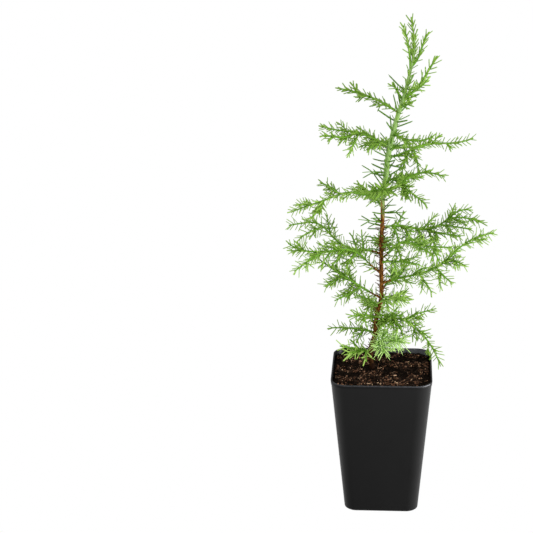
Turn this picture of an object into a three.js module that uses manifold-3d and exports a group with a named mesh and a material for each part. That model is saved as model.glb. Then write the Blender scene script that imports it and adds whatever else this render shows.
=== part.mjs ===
// A young Arizona cypress, about 365 mm tall, growing in a square black nursery pot.
// Millimetres, +Z up. The origin is the centre of the pot's flat underside. The plant is
// looked at along +Y, so compass heading 0 points away, 90 to the right (+X), 180 to the
// viewer and 270 to the left.
//
// Each side limb starts on the trunk's centre line and is worked out from its height, its
// heading, its rise angles and its length. The larger ones begin as a bare bough, cut clear
// of the trunk, and end in a mass of foliage: one stem with its forks, side twigs set by a
// seeded rule, and needles in whorls of three. A twig or needle that would leave its mass's
// own space, or touch a limb, the potting mix or the pot, is skipped.

import * as THREE from "three";
import { mergeVertices } from "three/addons/utils/BufferGeometryUtils.js";
import Module from "manifold-3d";

const wasm = await Module();
wasm.setup();

// Clear gap between pieces that touch on the real plant
const GAP = 0.3;
// Where each run of repeatable chance starts: every limb has its own, and its forks follow on
const SEED = { mix: 41, trunk: 5, limb: 1000, perLimb: 10, needles: 7000 };
// Slivers thinner than this are merged where shoots are joined
const JOIN_TOLERANCE = 0.02;
// Corners closer than this are one corner
const SAME_CORNER = 1e-4;
// Steps used to feel along a limb for its clear distance
const FEELER = { start: 0.5, step: 0.1, corners: 8 };

// Square nursery pot, 102 mm (4 in) across the rim, thin moulded walls
const POT = {
  height: 146,
  rimWidth: 102,
  footWidth: 75,
  rimCorner: 16,
  footCorner: 14,
  cornerSteps: 4,
  wall: 1.6,
  floor: 1.8,
  footRound: 2.5,
  floorRound: 3.5,
  rimBand: 4,
  rimProud: 0.3,
  rimRound: 0.5,
  drainHole: 8,
  drainSides: 12,
  drainSpread: 20,
};

// Bark-based potting mix, filled to a finger's width below the rim. rings: where the rings of
// its lumpy top lie, as shares of the way from the pot's wall to the trunk's level pad.
const MIX = {
  below: 6,
  mound: 1.6,
  footPad: 7,
  rings: [0.28, 0.55, 0.82],
};
const SOIL = POT.height - MIX.below;

// Trunk stations: height above the mix, then how far the stem stands to the right and back
const TRUNK_LINE = [
  [0, -10, 9], [20, -12, 7.5], [40, -7, 6], [60, -5.5, 5], [80, -1, 3.5], [110, -1, 1.5],
  [140, -1, 0], [165, 0, -1], [190, 0.5, -1.5], [210, 3.5, -1], [230, 5.5, 0], [262, 12.5, 1],
  [285, 19.5, 1], [308, 25, 0.5], [330, 29.5, 0], [347, 29, -0.5], [365, 26, -1],
];
// Trunk radius at heights above the mix: root flare, brown stem, leaf-clad green leader
const TRUNK_RADIUS = [
  [0, 3.6], [5, 2.8], [14, 2.5], [45, 2.4], [80, 2.2], [180, 2.1], [230, 2.1], [285, 1.7],
  [315, 1.3], [350, 0.8], [365, 0.5],
];
const TRUNK = {
  sides: 6,
  lineSteps: 12,
  flareRings: [3, 8, 16, 26, 36],
  ringGap: 10,
  greenFrom: 183,
  whorlGap: 5.5,
  needled: [0, 3, 5],
  needle: 9,
};

// Foliage: stem and twig radii, and the seeded rule that sets twigs and needles
const STEM = { base: 1.05, forkBase: 0.9, tip: 0.5, sides: 3, root: 0.35, step: 2.5 };
const BOUGH = { base: 0.8, perLength: 0.004, tipShare: 0.8, sides: 6, step: 5 };
// A twig leaves its stem at the first of its bends, in degrees, and curves round to the last
const TWIG = {
  gap: 15,
  first: 7,
  last: 7,
  length: 14.5,
  vary: 0.4,
  shrink: 0.5,
  stray: 0.3,
  roll: 137.5,
  rollStray: 60,
  bends: [55, 48, 41, 34],
  base: 0.7,
  tip: 0.4,
};
// samples: shares of a needle's length where its room is tested
const NEEDLE = {
  length: 7.8,
  vary: 0.36,
  whorlGap: 6.6,
  rootLength: 1.2,
  spread: 52,
  tipSpread: 24,
  tipShare: 0.85,
  twist: 60,
  samples: [0.4, 0.7, 1],
  clear: 1.3,
  first: 1.2,
  forkFirst: 3,
  last: 1.4,
};

// Space kept by every mass: nearer its own stems than any other's by the margin
const SPACE = { margin: 0.7, limbClear: 0.9, soilClear: 1.6, rimClear: 1.2, sample: 2 };

// Side limbs from the mix upwards. up: height on the trunk. bare: length of the bare bough.
// rises: rise angles at equal steps along the limb. turn: how far its heading swings by its
// tip. at: where a fork leaves its limb.
const LIMBS = [
  { name: "skirt_left", up: 20, heading: 235, turn: 10, rises: [15, 20, 20], length: 37, forks: [
    { at: 11, heading: 225, rises: [0, 10], length: 20 },
    { at: 6, heading: 175, rises: [-15, -40], length: 15 },
    { at: 14, heading: 265, rises: [60, 40], length: 15 },
  ] },
  { name: "skirt_front", up: 27, heading: 128, rises: [35, 0], length: 44, forks: [
    { at: 12, heading: 165, rises: [0, -30], length: 20 },
    { at: 18, heading: 95, rises: [20, 0], length: 20 },
    { at: 14, heading: 145, rises: [65, 35], length: 18 },
  ] },
  { name: "skirt_back", up: 34, heading: 20, rises: [15, 10], length: 46, forks: [
    { at: 16, heading: 335, rises: [20, 10], length: 24 },
  ] },
  { name: "low_left", up: 40, heading: 265, rises: [25, 5, 0], length: 45, forks: [
    { at: 12, heading: 215, rises: [-20, -50], length: 17 },
  ] },
  { name: "low_front_right", up: 50, heading: 125, rises: [40, 15], length: 38, forks: [
    { at: 10, heading: 185, rises: [50, 35], length: 15 },
    { at: 15, heading: 118, rises: [0, -40], length: 20 },
    { at: 22, heading: 135, rises: [60, 50], length: 15 },
  ] },
  { name: "low_front", up: 57, heading: 210, rises: [30, 20, 10], length: 50, forks: [
    { at: 26, heading: 180, rises: [0, -10], length: 16 },
  ] },
  { name: "low_right", up: 61, heading: 105, length: 86, bare: 11,
    rises: [-5, -5, -40, -55, -70], forks: [
    { at: 30, heading: 75, rises: [45, 10, 10], length: 30 },
    { at: 22, heading: 140, rises: [10, -5], length: 20 },
    { at: 14, heading: 115, rises: [-35, -60], length: 22 },
    { at: 38, heading: 120, rises: [-60, -75], length: 17 },
  ] },
  { name: "low_back", up: 64, heading: 348, rises: [-5, -5], length: 46, forks: [
    { at: 20, heading: 318, rises: [0, -5], length: 18 },
  ] },
  { name: "low_left_second", up: 69, heading: 240, rises: [45, 35, 20], length: 32 },
  { name: "mid_low_left", up: 79, heading: 262, rises: [30, 35, 35, 40], length: 75, bare: 18, forks: [
    { at: 25, heading: 225, turn: 15, rises: [-25, -10, -15], length: 33 },
    { at: 45, heading: 235, rises: [-10, -20], length: 24 },
    { at: 40, heading: 295, rises: [40, 20], length: 18 },
    { at: 36, heading: 330, rises: [65, 55], length: 18 },
    { at: 33, heading: 230, rises: [-55, -70], length: 18 },
  ] },
  { name: "mid_low_right", up: 80, heading: 80, rises: [0, 10, 25], length: 27, forks: [
    { at: 14, heading: 110, rises: [0, -10], length: 14 },
  ] },
  { name: "mid_low_front", up: 76, heading: 147, rises: [25, 15], length: 44, forks: [
    { at: 22, heading: 120, rises: [10, 5], length: 16 },
  ] },
  { name: "mid_low_back", up: 88, heading: 30, rises: [20, 5], length: 52, bare: 11, forks: [
    { at: 20, heading: 0, rises: [15, 10], length: 24 },
  ] },
  { name: "wide_right", up: 95, heading: 90, turn: -10, length: 126, bare: 14,
    rises: [25, 10, 20, 50, 30, 0], forks: [
    { at: 38, heading: 120, rises: [-35, -60], length: 24 },
    { at: 57, heading: 130, rises: [-35, -25], length: 23 },
    { at: 71, heading: 110, rises: [10, -20, -25], length: 21 },
    { at: 64, heading: 50, rises: [30, 20], length: 22 },
    { at: 102, heading: 105, rises: [10, 0], length: 14 },
    { at: 17, heading: 55, rises: [50, 40], length: 14 },
    { at: 33, heading: 125, rises: [50, 20], length: 20 },
  ] },
  { name: "wide_left", up: 106, heading: 250, turn: 10, length: 108, bare: 27,
    rises: [40, 50, -5, 5, 40], forks: [
    { at: 69, heading: 225, turn: 10, rises: [-5, -20, -30], length: 40 },
    { at: 52, heading: 285, rises: [10, -5], length: 17 },
    { at: 88, heading: 275, rises: [5, -10], length: 15 },
    { at: 36, heading: 235, rises: [-40, -60], length: 20 },
    { at: 50, heading: 245, rises: [-60, -40], length: 20 },
    { at: 62, heading: 250, rises: [-45, -60], length: 18 },
  ] },
  { name: "mid_front", up: 118, heading: 120, rises: [20, 5, 0], length: 44, forks: [
    { at: 14, heading: 170, rises: [0, -15], length: 18 },
    { at: 22, heading: 105, rises: [20, 25], length: 18 },
  ] },
  { name: "mid_right", up: 122, heading: 120, turn: -15, length: 83, bare: 14,
    rises: [40, 50, -10, 5, 0], forks: [
    { at: 36, heading: 90, rises: [35, -5], length: 15 },
    { at: 62, heading: 140, rises: [-35, -60], length: 18 },
    { at: 46, heading: 135, rises: [-15, -10], length: 18 },
    { at: 24, heading: 130, rises: [-60, -75], length: 18 },
  ] },
  { name: "mid_left", up: 127, heading: 290, turn: -10, length: 106, bare: 14,
    rises: [20, -10, 30, 50, -10, -15], forks: [
    { at: 19, heading: 345, rises: [65, 50], length: 16 },
    { at: 26, heading: 320, rises: [60, 55], length: 16 },
    { at: 31, heading: 255, rises: [-15, -30], length: 16 },
    { at: 44, heading: 250, rises: [5, 10], length: 16 },
    { at: 58, heading: 335, rises: [60, 60], length: 18 },
    { at: 69, heading: 260, rises: [-20, -20, -55], length: 29 },
  ] },
  { name: "mid_back", up: 136, heading: 357, rises: [-10, -15], length: 60, bare: 11, forks: [
    { at: 22, heading: 25, rises: [-10, -15], length: 20 },
  ] },
  { name: "high_right", up: 156, heading: 65, turn: 15, length: 98, bare: 14,
    rises: [0, -10, -20, 25, 42, -15], forks: [
    { at: 51, heading: 125, turn: -10, rises: [-15, 5, -5], length: 36 },
    { at: 63, heading: 110, rises: [0, -5], length: 33 },
    { at: 71, heading: 90, rises: [25, -10, -25], length: 38 },
    { at: 44, heading: 60, rises: [45, 35], length: 18 },
    { at: 16, heading: 40, rises: [50, 45], length: 14 },
    { at: 12, heading: 150, rises: [-40, -65], length: 25 },
    { at: 23, heading: 110, rises: [-50, -70], length: 24 },
    { at: 38, heading: 105, rises: [-50, -75], length: 26 },
    { at: 49, heading: 85, rises: [-55, -75], length: 24 },
  ] },
  { name: "high_spur_left", up: 160, heading: 255, rises: [15, 10], length: 25 },
  { name: "high_spur_right", up: 171, heading: 100, rises: [5, 0], length: 22 },
  { name: "high_back_left", up: 178, heading: 332, rises: [12, 5], length: 56, bare: 11, forks: [
    { at: 22, heading: 0, rises: [10, 0], length: 22 },
    { at: 32, heading: 300, rises: [5, -5], length: 20 },
  ] },
  { name: "high_left", up: 183, heading: 272, turn: 5, length: 97, bare: 12,
    rises: [25, 10, -25, -20, -25], forks: [
    { at: 44, heading: 300, rises: [35, 5], length: 25 },
    { at: 61, heading: 250, rises: [-70, -30], length: 22 },
    { at: 76, heading: 295, rises: [0, -10], length: 14 },
  ] },
  { name: "high_front", up: 192, heading: 180, rises: [25, 15], length: 50, forks: [
    { at: 16, heading: 215, rises: [15, 5], length: 22 },
    { at: 24, heading: 150, rises: [10, 5], length: 18 },
  ] },
  { name: "high_right_second", up: 194, heading: 95, length: 66, bare: 9,
    rises: [0, 50, 5, -25], forks: [
    { at: 16, heading: 125, rises: [-10, -25, -35], length: 36 },
    { at: 23, heading: 160, rises: [-40, -50], length: 20 },
  ] },
  { name: "high_back", up: 204, heading: 40, rises: [-5, -10], length: 47, forks: [
    { at: 19, heading: 10, rises: [-10, -15], length: 22 },
    { at: 28, heading: 70, rises: [5, -15], length: 20 },
  ] },
  { name: "upper_spur_left", up: 212, heading: 250, rises: [10, 0], length: 25 },
  { name: "upper_right", up: 226, heading: 75, turn: 10, length: 87, bare: 10,
    rises: [15, 20, -5, 22], forks: [
    { at: 22, heading: 235, rises: [-60, -80], length: 25 },
    { at: 27, heading: 115, rises: [-70, -80], length: 22 },
  ] },
  { name: "upper_back_right", up: 236, heading: 50, rises: [-5, -10], length: 36 },
  { name: "upper_left", up: 237, heading: 258, turn: 10, length: 71, bare: 8,
    rises: [35, 25, 5, 20], forks: [
    { at: 14, heading: 230, rises: [-30, -40], length: 15 },
    { at: 20, heading: 295, rises: [35, 25], length: 15 },
    { at: 11, heading: 190, rises: [10, -10], length: 16 },
    { at: 34, heading: 235, rises: [-55, -60], length: 23 },
    { at: 38, heading: 240, turn: 15, rises: [-35, 15, 5], length: 35 },
  ] },
  { name: "upper_back", up: 241, heading: 322, rises: [-10, -15], length: 44, forks: [
    { at: 20, heading: 290, rises: [-10, -20], length: 20 },
  ] },
  { name: "upper_front", up: 251, heading: 145, turn: -15, rises: [-10, 5, 30], length: 58, forks: [
    { at: 20, heading: 175, rises: [0, -5], length: 17 },
  ] },
  { name: "top_left", up: 271, heading: 285, rises: [33, 20, 5], length: 62, bare: 8 },
  { name: "top_front", up: 277, heading: 150, rises: [20, 30], length: 22 },
  { name: "top_back", up: 281, heading: 25, rises: [25, 20], length: 28 },
  { name: "top_right", up: 285, heading: 110, turn: -15, length: 51, bare: 7,
    rises: [32, 58, 60], forks: [
    { at: 15, heading: 135, rises: [25, 50], length: 21 },
  ] },
  { name: "top_spur_left", up: 291, heading: 240, rises: [30, 30], length: 19 },
  { name: "crown_left", up: 313, heading: 285, turn: -10, rises: [90, 80, 70], length: 44 },
  { name: "crown_right", up: 317, heading: 80, turn: 15, rises: [45, 75, 60], length: 37 },
  { name: "crown_back", up: 322, heading: 5, rises: [55, 60], length: 26 },
];

const LOOKS = {
  pot: { color: 0x252526, roughness: 0.5, metalness: 0 },
  mix: { color: 0x2b211b, roughness: 0.95, metalness: 0 },
  bark: { color: 0x6b3a22, roughness: 0.85, metalness: 0 },
  foliage: { color: 0x6fa83f, roughness: 0.6, metalness: 0 },
};

const UP = new THREE.Vector3(0, 0, 1);
const RIGHT = new THREE.Vector3(1, 0, 0);
// A line whose upward part is over this share is too steep to take its side from straight up
const STEEP = 0.95;

// Repeatable numbers from 0 to 1
function seeded(seed) {
  let state = seed >>> 0;
  return () => {
    state = (Math.imul(state, 1664525) + 1013904223) >>> 0;
    return state / 4294967296;
  };
}

// Value at x on a line of [x, value] stations
function between(stations, x) {
  for (let i = 1; i < stations.length; i++) {
    const [x0, v0] = stations[i - 1];
    const [x1, v1] = stations[i];
    if (x <= x1) {
      return THREE.MathUtils.mapLinear(Math.max(x, x0), x0, x1, v0, v1);
    }
  }
  return stations.at(-1)[1];
}

// Unit vector at a compass heading and a rise, in degrees
function direction(heading, rise) {
  const h = THREE.MathUtils.degToRad(heading);
  const r = THREE.MathUtils.degToRad(rise);
  return new THREE.Vector3(Math.sin(h) * Math.cos(r), Math.cos(h) * Math.cos(r), Math.sin(r));
}

// A line of points with lengths along it and a frame that turns smoothly with it
function makePath(points) {
  const lengths = [0];
  const frames = [];
  for (let i = 1; i < points.length; i++) {
    lengths.push(lengths[i - 1] + points[i].distanceTo(points[i - 1]));
  }
  points.forEach((point, i) => {
    const before = points[Math.max(i - 1, 0)];
    const after = points[Math.min(i + 1, points.length - 1)];
    const along = after.clone().sub(before).normalize();
    const guide = Math.abs(along.z) < STEEP ? UP : RIGHT;
    const side = i ? frames[i - 1].side.clone() : along.clone().cross(guide);
    side.addScaledVector(along, -side.dot(along)).normalize();
    frames.push({ point, along, side });
  });
  const length = lengths.at(-1);
  const at = (s) => {
    let i = 1;
    while (i < points.length - 1 && lengths[i] < s) {
      i++;
    }
    const t = THREE.MathUtils.clamp((s - lengths[i - 1]) / (lengths[i] - lengths[i - 1]), 0, 1);
    const point = points[i - 1].clone().lerp(points[i], t);
    const along = frames[i - 1].along.clone().lerp(frames[i].along, t).normalize();
    const side = frames[i - 1].side.clone().lerp(frames[i].side, t);
    side.addScaledVector(along, -side.dot(along)).normalize();
    return { point, along, side, across: along.clone().cross(side) };
  };
  return { length, at };
}

// A limb's path: its rise passes through the given angles at equal steps of its length
function growPath(start, { heading, turn = 0, rises, length }) {
  const steps = Math.max(3, Math.round(length / STEM.step));
  const points = [start.clone()];
  for (let i = 0; i < steps; i++) {
    const t = (i + 0.5) / steps;
    const x = t * (rises.length - 1);
    const k = Math.min(Math.floor(x), rises.length - 2);
    const rise = THREE.MathUtils.lerp(rises[k], rises[k + 1], x - k);
    const step = direction(heading + turn * t, rise).multiplyScalar(length / steps);
    points.push(points.at(-1).clone().add(step));
  }
  return makePath(points);
}

// A mesh from vertices and triangles
function geometryOf(vertices, triangles) {
  const geometry = new THREE.BufferGeometry();
  const numbers = vertices.flatMap((v) => v.toArray());
  geometry.setAttribute("position", new THREE.Float32BufferAttribute(numbers, 3));
  geometry.setIndex(triangles.flat());
  return geometry;
}

// A closed skin over rings of equal count, its two ends filled from their centres
function skinOver(rings) {
  const count = rings[0].length;
  const vertices = rings.flat();
  const triangles = [];
  for (let r = 0; r + 1 < rings.length; r++) {
    for (let i = 0; i < count; i++) {
      const a = r * count + i;
      const b = r * count + ((i + 1) % count);
      triangles.push([a, b, b + count], [a, b + count, a + count]);
    }
  }
  for (const r of [0, rings.length - 1]) {
    const middle = new THREE.Vector3();
    rings[r].forEach((v) => middle.addScaledVector(v, 1 / count));
    const centre = vertices.push(middle) - 1;
    for (let i = 0; i < count; i++) {
      const a = r * count + i;
      const b = r * count + ((i + 1) % count);
      triangles.push(r ? [a, b, centre] : [b, a, centre]);
    }
  }
  return geometryOf(vertices, triangles);
}

// A tapering limb along a path. Each whorl is a short length whose chosen faces are drawn out
// into needles, so the needles are one with the limb. needleTip gives a needle's tip, or null.
function limbSkin(path, { from = 0, to = path.length, radius, sides, rings, needleTip, pointed }) {
  const vertices = [];
  const triangles = [];
  const ringAt = (s, twist) => {
    const { point, side, across } = path.at(s);
    for (let k = 0; k < sides; k++) {
      const angle = THREE.MathUtils.degToRad(twist + (360 * k) / sides);
      const reach = radius(s);
      vertices.push(point.clone()
        .addScaledVector(side, Math.cos(angle) * reach)
        .addScaledVector(across, Math.sin(angle) * reach));
    }
  };
  const all = [{ s: from, twist: rings[0]?.twist ?? 0 }, ...rings];
  if (!pointed) {
    all.push({ s: to, twist: rings.at(-1)?.twist ?? 0 });
  }
  all.forEach(({ s, twist }) => ringAt(s, twist));
  for (let r = 0; r + 1 < all.length; r++) {
    for (let k = 0; k < sides; k++) {
      const a = r * sides + k;
      const b = r * sides + ((k + 1) % sides);
      const corners = [a, b, b + sides, a + sides];
      const places = corners.map((c) => vertices[c]);
      const tip = all[r].whorl === undefined ? null : needleTip(all[r], k, places);
      if (tip) {
        vertices.push(tip);
        corners.forEach((c, i) => triangles.push([c, corners[(i + 1) % 4], vertices.length - 1]));
      } else {
        triangles.push([a, b, a + sides], [b, b + sides, a + sides]);
      }
    }
  }
  for (let k = 1; k + 1 < sides; k++) {
    triangles.push([0, k + 1, k]);
  }
  const last = (all.length - 1) * sides;
  if (pointed) {
    const index = vertices.push(path.at(to).point) - 1;
    for (let k = 0; k < sides; k++) {
      triangles.push([last + k, last + ((k + 1) % sides), index]);
    }
  } else {
    for (let k = 1; k + 1 < sides; k++) {
      triangles.push([last, last + k, last + k + 1]);
    }
  }
  return geometryOf(vertices, triangles);
}

// Solids for cutting and joining
function toSolid(geometry) {
  const bare = geometry.clone();
  bare.deleteAttribute("normal");
  bare.deleteAttribute("uv");
  const merged = mergeVertices(bare, SAME_CORNER);
  return new wasm.Manifold(new wasm.Mesh({
    numProp: 3,
    vertProperties: new Float32Array(merged.attributes.position.array),
    triVerts: new Uint32Array(merged.index.array),
  }));
}

// The largest closed body of a solid: sealed hollows are filled and loose scraps dropped
function toGeometry(solid) {
  const bodies = solid.decompose();
  bodies.sort((a, b) => b.volume() - a.volume());
  const mesh = bodies[0].getMesh();
  const geometry = new THREE.BufferGeometry();
  geometry.setAttribute("position", new THREE.BufferAttribute(new Float32Array(mesh.vertProperties), 3));
  geometry.setIndex(new THREE.BufferAttribute(new Uint32Array(mesh.triVerts), 1));
  return geometry;
}

// Square outline with round corners, anticlockwise
function squareRing(width, corner, z, centre = [0, 0]) {
  const ring = [];
  const half = width / 2 - corner;
  for (let q = 0; q < 4; q++) {
    const x = half * (q === 0 || q === 3 ? 1 : -1);
    const y = half * (q < 2 ? 1 : -1);
    for (let i = 0; i <= POT.cornerSteps; i++) {
      const angle = (Math.PI / 2) * (q + i / POT.cornerSteps);
      ring.push(new THREE.Vector3(
        centre[0] + x + corner * Math.cos(angle),
        centre[1] + y + corner * Math.sin(angle),
        z,
      ));
    }
  }
  return ring;
}

// Pot width and corner radius at a height, on the outside or set in from it
function potRing(z, inset = 0) {
  const t = z / POT.height;
  const width = THREE.MathUtils.lerp(POT.footWidth, POT.rimWidth - 2 * POT.rimProud, t);
  const corner = THREE.MathUtils.lerp(POT.footCorner, POT.rimCorner, t);
  return squareRing(width - 2 * inset, corner - inset, z);
}

function makePot() {
  const rings = [];
  const round = POT.footRound;
  for (const degrees of [0, 30, 60, 90]) {
    const angle = THREE.MathUtils.degToRad(degrees);
    rings.push(potRing(round * (1 - Math.cos(angle)), round * (1 - Math.sin(angle))));
  }
  const bandFoot = POT.height - POT.rimBand;
  rings.push(potRing(bandFoot - POT.rimProud));
  rings.push(potRing(bandFoot, -POT.rimProud));
  rings.push(potRing(POT.height - POT.rimRound, -POT.rimProud));
  rings.push(potRing(POT.height, POT.rimRound - POT.rimProud));
  rings.push(potRing(POT.height, POT.wall - POT.rimRound));
  rings.push(potRing(POT.height - POT.rimRound, POT.wall));
  rings.push(potRing(POT.floor + round, POT.wall));
  rings.push(potRing(POT.floor, POT.wall + POT.floorRound));
  let pot = toSolid(skinOver(rings));
  const bore = POT.drainHole / 2;
  for (const [x, y] of [[1, 1], [-1, 1], [-1, -1], [1, -1]]) {
    const drill = new THREE.CylinderGeometry(bore, bore, 4 * POT.floor, POT.drainSides);
    drill.rotateX(Math.PI / 2);
    drill.translate(x * POT.drainSpread, y * POT.drainSpread, 0);
    pot = pot.subtract(toSolid(drill));
  }
  return toGeometry(pot);
}

// Potting mix: it fills the pot, is level under the trunk and lumpy elsewhere
function makeMix() {
  const inset = POT.wall + GAP;
  const random = seeded(SEED.mix);
  const rim = potRing(SOIL, inset);
  const pad = rim.map((v) => {
    const angle = Math.atan2(v.y, v.x);
    return new THREE.Vector3(
      foot.x + MIX.footPad * Math.cos(angle),
      foot.y + MIX.footPad * Math.sin(angle),
      SOIL,
    );
  });
  const top = MIX.rings.map((share) => rim.map((v, i) => {
    const point = v.clone().lerp(pad[i], share);
    point.z += (random() - 0.5) * MIX.mound + MIX.mound * 0.5 * share;
    return point;
  }));
  const floor = POT.floor + GAP;
  const rings = [
    potRing(floor, inset + POT.floorRound),
    potRing(POT.floor + POT.footRound, inset),
    rim,
    ...top,
    pad,
  ];
  return skinOver(rings);
}

// Trunk centre line, a smooth curve through its stations
const trunkCurve = new THREE.CatmullRomCurve3(
  TRUNK_LINE.map(([up, x, y]) => new THREE.Vector3(x, y, SOIL + up)), false, "catmullrom", 0.5);
const trunkPath = makePath(trunkCurve.getPoints((TRUNK_LINE.length - 1) * TRUNK.lineSteps));

const foot = trunkPath.at(0).point;

function trunkRadius(z) {
  return between(TRUNK_RADIUS, z - SOIL);
}

// Distance along the trunk at a height above the mix
function trunkAt(up) {
  let s = 0;
  while (trunkPath.at(s).point.z < SOIL + up && s < trunkPath.length) {
    s += FEELER.step;
  }
  return s;
}

function boughRadius(limb) {
  return BOUGH.base + limb.length * BOUGH.perLength;
}

// A size made a little larger or smaller by chance
function varied(size, share, random) {
  return size * (1 + share * (random() - 0.5));
}

// How far along a limb its base stands clear of the trunk
function clearOfTrunk(path, reach) {
  const line = [];
  for (let s = 0; s <= trunkPath.length; s += 1) {
    line.push(trunkPath.at(s).point);
  }
  for (let s = FEELER.start; ; s += FEELER.step) {
    const { point, side, across } = path.at(s);
    let nearest = Infinity;
    for (let k = 0; k < FEELER.corners; k++) {
      const angle = (2 * Math.PI * k) / FEELER.corners;
      const corner = point.clone()
        .addScaledVector(side, Math.cos(angle) * reach)
        .addScaledVector(across, Math.sin(angle) * reach);
      for (const spot of line) {
        nearest = Math.min(nearest, corner.distanceTo(spot) - trunkRadius(spot.z));
      }
    }
    if (nearest >= GAP) {
      return s;
    }
  }
}

// Lay out every limb, bough and fork before anything grows on them
function layOut() {
  return LIMBS.map((limb, index) => {
    const start = trunkPath.at(trunkAt(limb.up)).point;
    const path = growPath(start, limb);
    const bare = limb.bare ?? 0;
    const thick = bare ? boughRadius(limb) : STEM.base;
    const base = clearOfTrunk(path, thick);
    const foliageFrom = bare ? bare + GAP : base;
    const seed = SEED.limb + index * SEED.perLimb;
    const stems = [{ path, from: foliageFrom, seed }];
    (limb.forks ?? []).forEach((fork, i) => {
      const forkPath = growPath(path.at(fork.at).point, fork);
      stems.push({ path: forkPath, from: 0, seed: seed + 1 + i });
    });
    return { ...limb, bare, base, thick, path, stems, needleSeed: SEED.needles + index };
  });
}

const limbs = layOut();

// Points along every stem, bough and the trunk, against which space is judged
const marks = [];
for (let s = 0; s <= trunkPath.length; s += SPACE.sample) {
  const { point } = trunkPath.at(s);
  const green = point.z - SOIL > TRUNK.greenFrom;
  marks.push({ point, owner: green ? "trunk" : null, radius: trunkRadius(point.z) });
}
for (const limb of limbs) {
  for (let s = limb.base; s < limb.bare; s += SPACE.sample) {
    marks.push({ point: limb.path.at(s).point, owner: null, radius: limb.thick });
  }
  for (const { path, from } of limb.stems) {
    for (let s = from; s < path.length + SPACE.sample; s += SPACE.sample) {
      marks.push({ point: path.at(Math.min(s, path.length)).point, owner: limb.name, radius: 0 });
    }
  }
}

// Whether a point lies in its owner's own space, clear of limbs, mix and pot
function inSpace(point, owner) {
  let own = Infinity;
  let other = Infinity;
  for (const mark of marks) {
    const distance = mark.point.distanceTo(point);
    if (mark.owner === owner) {
      own = Math.min(own, distance);
    } else {
      if (mark.owner !== null) {
        other = Math.min(other, distance);
      }
      if (distance < mark.radius + SPACE.limbClear) {
        return false;
      }
    }
  }
  if (own + SPACE.margin > other) {
    return false;
  }
  const overPot = Math.max(Math.abs(point.x), Math.abs(point.y)) < POT.rimWidth / 2 + SPACE.rimClear;
  const inside = Math.max(Math.abs(point.x), Math.abs(point.y)) < POT.rimWidth / 2 - 2 * POT.wall;
  const floor = inside ? SOIL + MIX.mound + SPACE.soilClear : POT.height + SPACE.rimClear;
  return !overPot || point.z > floor;
}

// Rings for needle whorls along a stem: a short root length, then a bare twisted length
function whorlRings(from, to, gap) {
  const rings = [];
  const count = Math.max(1, Math.floor((to - from) / gap));
  const pitch = (to - from) / count;
  for (let i = 0; i < count; i++) {
    const s = from + pitch * (i + 0.5);
    const twist = NEEDLE.twist * i;
    rings.push({ s: s - NEEDLE.rootLength / 2, twist, whorl: i, last: i === count - 1 });
    rings.push({ s: s + NEEDLE.rootLength / 2, twist });
  }
  return rings;
}

// A needled stem with its tip drawn to a point. A fork or twig narrows to its sunk root.
function needledStem({ path, from, base, tip, sunk, first }, owner, random, bits) {
  const taper = (s) => THREE.MathUtils.mapLinear(s, from, path.length, base, tip);
  const radius = (s) => (sunk && s === from ? STEM.root : taper(s));
  const rings = whorlRings(from + first, path.length - NEEDLE.last, NEEDLE.whorlGap);
  const own = bits.filter((bit) => bit.path !== path);
  const needleTip = (ring, k, corners) => {
    const middle = new THREE.Vector3();
    corners.forEach((c) => middle.addScaledVector(c, 0.25));
    const { point, along } = path.at(ring.s + NEEDLE.rootLength / 2);
    const spread = THREE.MathUtils.degToRad(ring.last ? NEEDLE.tipSpread : NEEDLE.spread);
    const length = varied(NEEDLE.length, NEEDLE.vary, random) * (ring.last ? NEEDLE.tipShare : 1);
    const out = middle.clone().sub(point);
    out.addScaledVector(along, -out.dot(along)).normalize();
    const aim = along.clone().multiplyScalar(Math.cos(spread)).addScaledVector(out, Math.sin(spread));
    const end = middle.clone().addScaledVector(aim, length);
    const samples = NEEDLE.samples.map((share) => middle.clone().addScaledVector(aim, length * share));
    const crowded = samples.some((p) => own.some((bit) => bit.point.distanceTo(p) < NEEDLE.clear));
    if (crowded || !samples.slice(1).every((p) => inSpace(p, owner))) {
      return null;
    }
    samples.forEach((p) => bits.push({ path, point: p }));
    return end;
  };
  return limbSkin(path, { from, radius, sides: STEM.sides, rings, needleTip, pointed: true });
}

// Side twigs by the seeded rule: they spiral by the golden angle and shorten to the stem's tip
function sideTwigs(stem, owner) {
  const random = seeded(stem.seed);
  const twigs = [];
  const first = stem.from + TWIG.first;
  for (let i = 0; first + i * TWIG.gap < stem.path.length - TWIG.last; i++) {
    const s = first + (i + TWIG.stray * (random() - 0.5)) * TWIG.gap;
    const roll = THREE.MathUtils.degToRad(TWIG.roll * i + TWIG.rollStray * random());
    const share = 1 - TWIG.shrink * (s / stem.path.length);
    const length = varied(TWIG.length, TWIG.vary, random) * share;
    const { point, along, side, across } = stem.path.at(s);
    const out = side.clone().multiplyScalar(Math.cos(roll)).addScaledVector(across, Math.sin(roll));
    const points = [point];
    for (const degrees of TWIG.bends) {
      const bend = THREE.MathUtils.degToRad(degrees);
      const step = along.clone().multiplyScalar(Math.cos(bend)).addScaledVector(out, Math.sin(bend));
      points.push(points.at(-1).clone().addScaledVector(step, length / TWIG.bends.length));
    }
    if (points.slice(2).every((p) => inSpace(p, owner))) {
      twigs.push(makePath(points));
    }
  }
  return twigs;
}

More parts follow.
